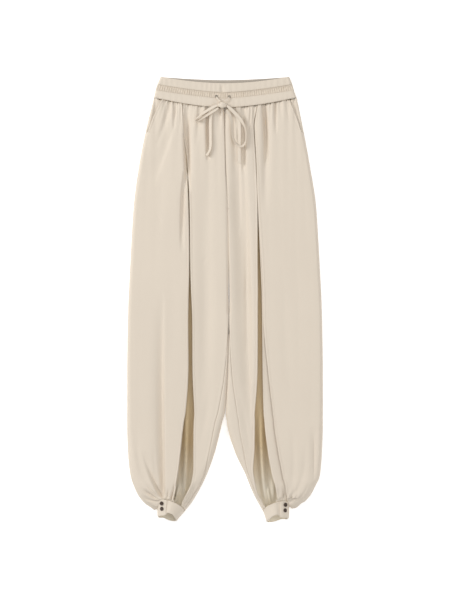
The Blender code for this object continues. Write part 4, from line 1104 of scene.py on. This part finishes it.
STRIPS = (
    ("top_front", 0, 1, 1.0, 22, 420), ("shirred_front", 1, 1, -2.0, 20, 640),
    ("tunnel_front", 2, 1, 1.4, 22, 420), ("top_back", 0, -1, 0.0, 14, 300),
    ("shirred_back", 1, -1, 0.0, 12, 300), ("tunnel_back", 2, -1, 0.0, 14, 300),
)
STRIP_CUT_LENGTH = 0.40
STRIP_CUT_WIDTHS = (0.0225, 0.0152, 0.0215)
for label, line, face, bulge, rows, cols in STRIPS:
    holes = label == "shirred_front"
    made = waist_strip(f"cloth_band_{label}", line, face, bulge, rows, cols, holes)
    cut = (STRIP_CUT_WIDTHS[line], STRIP_CUT_LENGTH)
    settle(made, [f"band_{label}"], cut, cut[0] * cut[1])
    print(label, len(made.data.polygons), "faces")

# %% [markdown]
# ## The drawstring
# The drawstring is a flat tie of the same cloth, turned and pressed. Its two ends come out of
# buttonholes in the band and are tied in a bow: two leads, a knot, two loops and two free ends.
# Each free stretch is a strip carried along a smooth route, with its own turn about it.

# %% Routes of the ties
TIE_WIDTH = 7.4
LEAD_WIDTH = 3.8
TIE_THICK = 1.2
TIES = {
    "tie_loop_left": (
        (-16.1, 456.2, 21.2, 10), (-30.5, 449.5, 21.0, 20), (-48.0, 438.5, 20.0, 35),
        (-62.5, 427.5, 20.0, 65), (-68.5, 421.0, 20.0, 90), (-62.5, 419.5, 20.0, 118),
        (-50.0, 427.5, 19.6, 150), (-37.5, 435.5, 19.4, 160), (-24.5, 443.6, 19.8, 168),
        (-14.5, 449.5, 20.0, 172),
    ),
    "tie_tail_left": (
        (-16.5, 447.0, 16.6, 0), (-23.5, 443.0, 16.4, 5), (-30.0, 436.0, 16.6, 10),
        (-32.8, 424.0, 17.2, 20), (-33.0, 405.0, 17.6, 30), (-32.8, 385.0, 18.3, 35),
        (-32.6, 363.0, 18.8, 40), (-35.5, 348.5, 18.8, 45), (-42.6, 338.0, 19.2, 50),
    ),
    "tie_loop_right": (
        (6.0, 454.5, 22.0, 5), (15.0, 447.0, 22.0, 5), (27.5, 434.5, 21.5, 10),
        (39.0, 420.5, 20.5, 30), (48.0, 403.0, 20.0, 60), (51.0, 384.5, 20.0, 75),
        (48.0, 367.5, 20.6, 60), (40.0, 359.5, 21.8, 45), (28.5, 364.5, 20.8, 50),
        (20.5, 379.5, 20.0, 55), (18.0, 398.0, 19.4, 45), (16.5, 416.5, 19.4, 30),
        (12.0, 433.0, 19.4, 20), (4.5, 444.0, 19.6, 10),
    ),
    "tie_tail_right": (
        (9.5, 449.0, 16.2, 0), (20.0, 441.5, 16.2, 0), (29.0, 430.5, 16.4, 5),
        (33.8, 416.0, 16.8, 10), (35.0, 396.0, 17.0, 15), (34.8, 372.0, 17.0, 10),
        (34.6, 348.0, 17.0, 10), (35.0, 320.5, 17.0, 5),
    ),
    "tie_lead_left": (
        (-19.0, 477.4, 8.0, 0), (-18.9, 476.6, 12.6, 0), (-17.6, 473.2, 16.8, 0),
        (-14.0, 468.6, 18.6, 0), (-10.0, 465.4, 19.4, 0),
    ),
    "tie_lead_right": (
        (11.2, 477.4, 8.0, 0), (11.0, 476.6, 12.6, 0), (9.4, 473.2, 16.8, 0),
        (4.6, 468.0, 18.6, 0), (-0.5, 465.4, 19.4, 0),
    ),
}
KNOT_CENTRE = np.array([-5.5, 456.5, 20.0])
KNOT_HALF = np.array([10.0, 7.2, 4.6])


def route(table, count):
    """A smooth curve through the table's points, with count points spaced evenly along it."""
    xyz, turns = np.array(table, float)[:, :3], np.array(table, float)[:, 3]
    step = np.linalg.norm(np.diff(xyz, axis=0), axis=1)
    t = np.concatenate([[0], np.cumsum(np.sqrt(step))])
    t /= t[-1]
    ends = np.concatenate([2 * xyz[:1] - xyz[1:2], xyz, 2 * xyz[-1:] - xyz[-2:-1]])
    fine = np.linspace(0, 1, 12 * len(table))
    k = np.clip(np.searchsorted(t, fine, side="right") - 1, 0, len(t) - 2)
    s = ((fine - t[k]) / (t[k + 1] - t[k]))[:, None]
    p0, p1, p2, p3 = ends[k], ends[k + 1], ends[k + 2], ends[k + 3]
    line = 0.5 * (
        2 * p1 + (p2 - p0) * s
        + (2 * p0 - 5 * p1 + 4 * p2 - p3) * s**2
        + (3 * p1 - p0 - 3 * p2 + p3) * s**3
    )
    turn = ease(t, turns, fine)
    walked = run_length(line, 0)
    even = np.linspace(0, walked[-1], count)
    line = np.stack([np.interp(even, walked, line[:, i]) for i in range(3)], 1)
    return line, np.radians(np.interp(even, walked, turn)), walked[-1]


def tie(name, table, width, seed):
    """A flat oval ring, width by thickness, with a soft crease along it, carried along the route.
    It narrows and curls where the knot nips it."""
    line, turn, length = route(table, 120 if width > 5 else 40)
    ahead = np.gradient(line, axis=0)
    ahead /= np.linalg.norm(ahead, axis=1, keepdims=True)
    side = np.cross([0.0, 0.0, 1.0], ahead)
    side /= np.linalg.norm(side, axis=1, keepdims=True)
    up = np.cross(ahead, side)
    wide = side * np.cos(turn)[:, None] + up * np.sin(turn)[:, None]
    thin = np.cross(ahead, wide)
    b = np.linspace(0, 2 * np.pi, 25)[:-1]
    place = np.sign(np.cos(b)) * np.abs(np.cos(b)) ** 0.55
    thick = np.sign(np.sin(b)) * np.abs(np.sin(b)) ** 0.7
    walked = run_length(line, 0)
    nip = np.minimum(1, 0.62 + 0.38 * smooth(walked / 9.0))
    if "loop" in name:
        nip = nip * np.minimum(1, 0.62 + 0.38 * smooth((walked[-1] - walked) / 9.0))
    curl = 0.22 * width * (1 - nip) + 0.25 * np.sin(walked / 17.0 + seed)
    a = 0.5 * width * nip[:, None] * place
    c = 0.5 * TIE_THICK * thick * (1 - 0.25 * np.exp(-((place / 0.16) ** 2)))
    c = c + curl[:, None] * (place**2 - 0.35)
    ring = line[:, None] + a[..., None] * wide[:, None] + c[..., None] * thin[:, None]
    return line, ring, length


def closed_tube(name, rings):
    """Rings joined side by side, each end closed with a fan."""
    count, around = rings.shape[:2]
    index = np.arange(count * around).reshape(count, around)
    following = np.roll(index, -1, 1)
    sides = np.stack([index[:-1], following[:-1], following[1:], index[1:]], -1).reshape(-1, 4)
    points = np.concatenate([rings.reshape(-1, 3), rings[0].mean(0)[None], rings[-1].mean(0)[None]])
    first = np.stack([following[0], index[0], np.full(around, len(points) - 2)], 1)
    last = np.stack([index[-1], following[-1], np.full(around, len(points) - 1)], 1)
    volume = np.einsum(
        "ij,ij->i", points[sides[:, 0]], np.cross(points[sides[:, 1]], points[sides[:, 2]])
    ).sum()
    faces = sides.tolist() + first.tolist() + last.tolist()
    if volume < 0:
        faces = [face[::-1] for face in faces]
    flat = np.zeros((len(points), 2))
    flat[: count * around, 0] = run_length(rings, 1).ravel() * MM
    flat[: count * around, 1] = (run_length(rings, 0)[:, [0]] + 0 * rings[..., 0]).ravel() * MM
    return mesh_piece(name, points, faces, flat, sharp=1.2)


# %% [markdown]
# Each loop, end and lead of the bow becomes one closed tube along its route.

# %% Bow: leads, loops and free ends
tie_pieces, tie_routes = {}, {}
for number, (name, table) in enumerate(TIES.items()):
    width = LEAD_WIDTH if "lead" in name else TIE_WIDTH
    line, rings, length = tie(name, table, width, 1.7 * number)
    made = closed_tube(f"cloth_{name}", rings)
    made.data.materials.append(TIE_CLOTH)
    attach(made, "root")
    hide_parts(name)
    tie_pieces[name], tie_routes[name] = made, (line * MM, length * MM)
    print(name, "length", round(length, 1), "mm")


# %% [markdown]
# The knot is one block with rounded corners, which waves on its girth give a wrap and pleats. The
# routes of the four lengths that end at it are read here, and nothing is done with them.

# %% Knot
def knot():
    """A rounded block, squared off, with a raised wrap round its waist and slanting pleats."""
    a = np.linspace(-np.pi / 2, np.pi / 2, 60)[1:-1][:, None]
    b = np.linspace(0, 2 * np.pi, 97)[None, :-1]
    power = lambda s, p: np.sign(s) * np.abs(s) ** p
    x = power(np.sin(a), 0.85) + 0 * b
    wrap = smooth((0.42 - np.abs(x - 0.10 * np.sin(b))) / 0.10)
    pleat = np.sin(3.0 * b + 9.0 * x) * (1 - wrap)
    groove = np.exp(-(((np.abs(x) - 0.5) / 0.10) ** 2))
    girth = power(np.cos(a), 0.75) * (1 + 0.12 * wrap - 0.10 * groove)
    girth = girth * (1 + 0.045 * pleat)
    y = girth * power(np.cos(b), 0.85)
    z = girth * power(np.sin(b), 0.85)
    return KNOT_CENTRE + np.stack([x, 0.92 * y, 0.92 * z], -1) * KNOT_HALF


made = closed_tube("cloth_knot", knot())
made.data.materials.append(TIE_CLOTH)
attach(made, "root")
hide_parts("knot")
for name in ("tie_loop_left", "tie_loop_right", "tie_tail_left", "tie_tail_right"):
    line, length = tie_routes[name]
print("knot faces", len(made.data.polygons))

# %% [markdown]
# ## Buttons
# Each cuff has two small round buttons in polished dark brown, dished, with four holes and thread
# through them. A button is a turned profile, with its holes pressed into the same grid.

# %% Buttons
BUTTON_RADIUS = 4.8
BUTTON_THICK = 2.4
BUTTONS = {
    "button_left_upper": ("left", 14.41, 0.12),
    "button_left_lower": ("left", 14.71, 0.115),
    "button_right_upper": ("right", 14.35, 0.11),
    "button_right_lower": ("right", 14.68, 0.10),
}
HOLE_AT = 1.15
HOLE_RADIUS = 0.62
HOLE_DEPTH = 1.35
SEAT = 0.6
DISH = 0.66
THREAD_RADIUS = 0.26

button_finish = bpy.data.materials.new("polished_brown")
button_finish.use_nodes = True
shade = button_finish.node_tree.nodes["Principled BSDF"]
swirl = button_finish.node_tree.nodes.new("ShaderNodeTexNoise")
swirl.inputs["Scale"].default_value = 420.0
swirl.inputs["Distortion"].default_value = 1.2
ramp = button_finish.node_tree.nodes.new("ShaderNodeValToRGB")
ramp.color_ramp.elements[0].color = (0.030, 0.016, 0.010, 1)
ramp.color_ramp.elements[1].color = (0.085, 0.050, 0.032, 1)
where = button_finish.node_tree.nodes.new("ShaderNodeTexCoord")
button_finish.node_tree.links.new(where.outputs["Object"], swirl.inputs["Vector"])
button_finish.node_tree.links.new(swirl.outputs["Fac"], ramp.inputs["Fac"])
button_finish.node_tree.links.new(ramp.outputs["Color"], shade.inputs["Base Color"])
shade.inputs["Roughness"].default_value = 0.36
THREAD = cloth_finish("cream_thread", colour=(0.70, 0.61, 0.50), mottle=0.12)
DARK_THREAD = cloth_finish("brown_thread", colour=(0.16, 0.11, 0.08), mottle=0.12)


def leg_frame(leg, v, f):
    """Place, normal and two directions in the surface at (v, f) of a leg's front."""
    place = leg.point(v, f, 1, fine=False)
    across = leg.point(v, f + 0.002, 1, fine=False) - leg.point(v, f - 0.002, 1, fine=False)
    down = leg.point(v + 0.004, f, 1, fine=False) - leg.point(v - 0.004, f, 1, fine=False)
    n = np.cross(across, down)
    n *= np.sign(n[2]) / np.linalg.norm(n)
    side = np.cross(n, [0.0, 1.0, 0.0])
    side /= np.linalg.norm(side)
    return place, n, side, np.cross(n, side)


def button(name, leg, v, f):
    """Rings of radius r and height h: flat under, round rim, dished top, four holes pressed in.
    Gives back the lines of its two threads."""
    place, n, side, up = leg_frame(leg, v, f)
    seat = place + n * SEAT
    r, t = BUTTON_RADIUS, BUTTON_THICK
    curve = np.array([
        (0.02, 0.0), (0.5, 0.0), (0.86, 0.0), (0.95, 0.12), (1.0, 0.35), (1.0, 0.68), (0.97, 0.88),
        (0.9, 0.99), (0.82, 0.99), (0.74, 0.93), (0.68, 0.80), (0.62, 0.70), (0.56, DISH),
    ])
    inner = np.stack([np.linspace(0.54, 0.01, 26), np.full(26, DISH)], 1)
    curve = np.concatenate([curve, inner])
    b = np.linspace(0, 2 * np.pi, 73)[:-1]
    x = curve[:, :1] * r * np.cos(b)
    y = curve[:, :1] * r * np.sin(b)
    h = np.repeat(curve[:, 1:] * t, len(b), 1)
    for hx in (-1, 1):
        for hy in (-1, 1):
            gap = np.hypot(x - hx * HOLE_AT, y - hy * HOLE_AT)
            h[12:] -= HOLE_DEPTH * np.exp(-((gap[12:] / HOLE_RADIUS) ** 6))
    rings = seat + x[..., None] * side + y[..., None] * up + h[..., None] * n
    made = closed_tube(f"turned_{name}", rings)
    made.data.materials.append(button_finish)
    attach(made, "root")
    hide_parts(name)
    lines = []
    for hx in (-1, 1):
        s = np.linspace(-1, 1, 15)
        arc = np.stack([
            hx * HOLE_AT + 0 * s, HOLE_AT * s, DISH * t + 0.30 * (1 - s**4) - 0.5 * s**8,
        ], 1)
        lines.append(seat + arc[:, :1] * side + arc[:, 1:2] * up + arc[:, 2:] * n)
    return lines


def thread_rings(line, radius, around=8):
    """Rings of a round thread about a line."""
    ahead = np.gradient(line, axis=0)
    ahead /= np.linalg.norm(ahead, axis=1, keepdims=True)
    side = np.cross(ahead, [0.31, 0.17, 0.93])
    side /= np.linalg.norm(side, axis=1, keepdims=True)
    up = np.cross(ahead, side)
    b = np.linspace(0, 2 * np.pi, around + 1)[:-1]
    across = np.cos(b)[None, :, None] * side[:, None]
    return line[:, None] + radius * (across + np.sin(b)[None, :, None] * up[:, None])


for name, (side_name, v, f) in BUTTONS.items():
    for number, line in enumerate(button(name, LEGS[side_name], v, f)):
        made = closed_tube(f"thread_{name}_{number}", thread_rings(line, THREAD_RADIUS))
        made.data.materials.append(DARK_THREAD)
        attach(made, "root")
print("buttons", len(BUTTONS))

# %% [markdown]
# ## Stitching
# Rows of short stitches hold the pocket edges, the slits' turned edges and the centre seam, and a
# bar of three close rows ends the mock fly. One stitch is a small spindle. All the stitches of a
# row are one array: a spindle's points times the row's places and directions.

# %% Stitches
STITCH_PITCH = 2.9
STITCH_LONG = 2.2
STITCH_WIDE = 0.42


def stitch_row(line, normals, pitch=STITCH_PITCH, length=STITCH_LONG, wide=STITCH_WIDE):
    """Spindles every pitch along a line, each length long and wide across, lying on the cloth."""
    walked = run_length(line, 0)
    places = np.arange(pitch, walked[-1] - 0.5 * pitch, pitch)
    here = np.stack([np.interp(places, walked, line[:, i]) for i in range(3)], 1)
    up = np.stack([np.interp(places, walked, normals[:, i]) for i in range(3)], 1)
    up /= np.linalg.norm(up, axis=1, keepdims=True)
    slope = np.gradient(line, walked, axis=0)
    ahead = np.stack([np.interp(places, walked, slope[:, i]) for i in range(3)], 1)
    ahead -= (ahead * up).sum(1, keepdims=True) * up
    ahead /= np.linalg.norm(ahead, axis=1, keepdims=True)
    side = np.cross(up, ahead)
    s = np.array([-1, -0.6, 0.0, 0.6, 1])
    girth = np.array([0.15, 0.85, 1.0, 0.85, 0.15])
    b = np.linspace(0, 2 * np.pi, 7)[:-1]
    local = np.stack([
        np.repeat(0.5 * length * s, 6),
        (0.5 * wide * girth[:, None] * np.cos(b)).ravel(),
        (0.36 * wide * girth[:, None] * np.sin(b)).ravel() + 0.10 * wide,
    ], 1)
    frames = np.stack([ahead, side, up], 1)
    points = here[:, None] + np.einsum("kj,njc->nkc", local, frames)
    index = np.arange(30).reshape(5, 6)
    after = np.roll(index, -1, 1)
    quads = np.stack([index[:-1], after[:-1], after[1:], index[1:]], -1).reshape(-1, 4)
    caps = [[0, 5, 4, 3], [3, 2, 1, 0], [24, 25, 26, 27], [27, 28, 29, 24]]
    faces = np.concatenate([quads, caps])
    faces = faces[None] + 30 * np.arange(len(here))[:, None, None]
    return points.reshape(-1, 3), faces.reshape(-1, 4)


def stitch_piece(name, rows):
    """Several rows of stitches as one piece."""
    points, faces, shift = [], [], 0
    for p, f in rows:
        points.append(p)
        faces.append(f + shift)
        shift += len(p)
    points, faces = np.concatenate(points), np.concatenate(faces)
    made = mesh_piece(name, points, faces, points[:, :2] * MM, sharp=3.0)
    made.data.materials.append(THREAD)
    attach(made, "root")
    print(name, len(faces), "faces")


def column_line(surface, place, first=0, last=None):
    """The line on a panel at a distance in from its first (place > 0) or last column."""
    _, outer, n = surface
    across = run_length(outer, 1)
    want = np.broadcast_to(place if place > 0 else across[:, -1] + place, len(across))

    def pick(grid):
        rows = zip(want, across, grid)
        return np.array([[np.interp(w, a, g[:, i]) for i in range(3)] for w, a, g in rows])

    line, up = pick(outer), pick(n)
    return (line + 0.05 * up)[first:last], up[first:last]


POCKET_STITCH, SLIT_STITCH, SEAM_STITCH = 4.6, 6.2, 2.4
FLY_BAR_X, FLY_BAR_Y, FLY_BAR_V = (4.4, 11.2), 214.2, 3.08
rows_of = {}
for side_name in LEGS:
    surface = SURFACES["side", side_name]
    pocket_rows = int(np.searchsorted(surface[0], 1.15))
    line, up = column_line(surface, POCKET_STITCH, 1, pocket_rows)
    rows_of[f"pocket_{side_name}"] = [stitch_row(line, up)]
    line, up = column_line(surface, -SLIT_STITCH, 2, -3)
    rows_of[f"slit_side_{side_name}"] = [stitch_row(line, up)]
    line, up = column_line(SURFACES["centre", side_name], SLIT_STITCH, 2, -3)
    rows_of[f"slit_centre_{side_name}"] = [stitch_row(line, up)]
line, up = column_line(SURFACES["centre", "right"], -SEAM_STITCH, 2, 120)
rows_of["front_seam"] = [stitch_row(line, up)]
bar = np.linspace(*FLY_BAR_X, 8)
top = LEGS["right"].point(FLY_BAR_V, 0.985, 1)[2] + 0.5
rows_of["fly_bar"] = []
for drop in (0.0, 0.6, 1.2):
    line = np.stack([bar, 0 * bar + FLY_BAR_Y - drop, 0 * bar + top], 1)
    rows_of["fly_bar"].append(stitch_row(line, line * 0 + [0, 0, 1.0], 0.9, 1.6, 0.5))
for label, rows in rows_of.items():
    stitch_piece(f"stitches_{label}", rows)
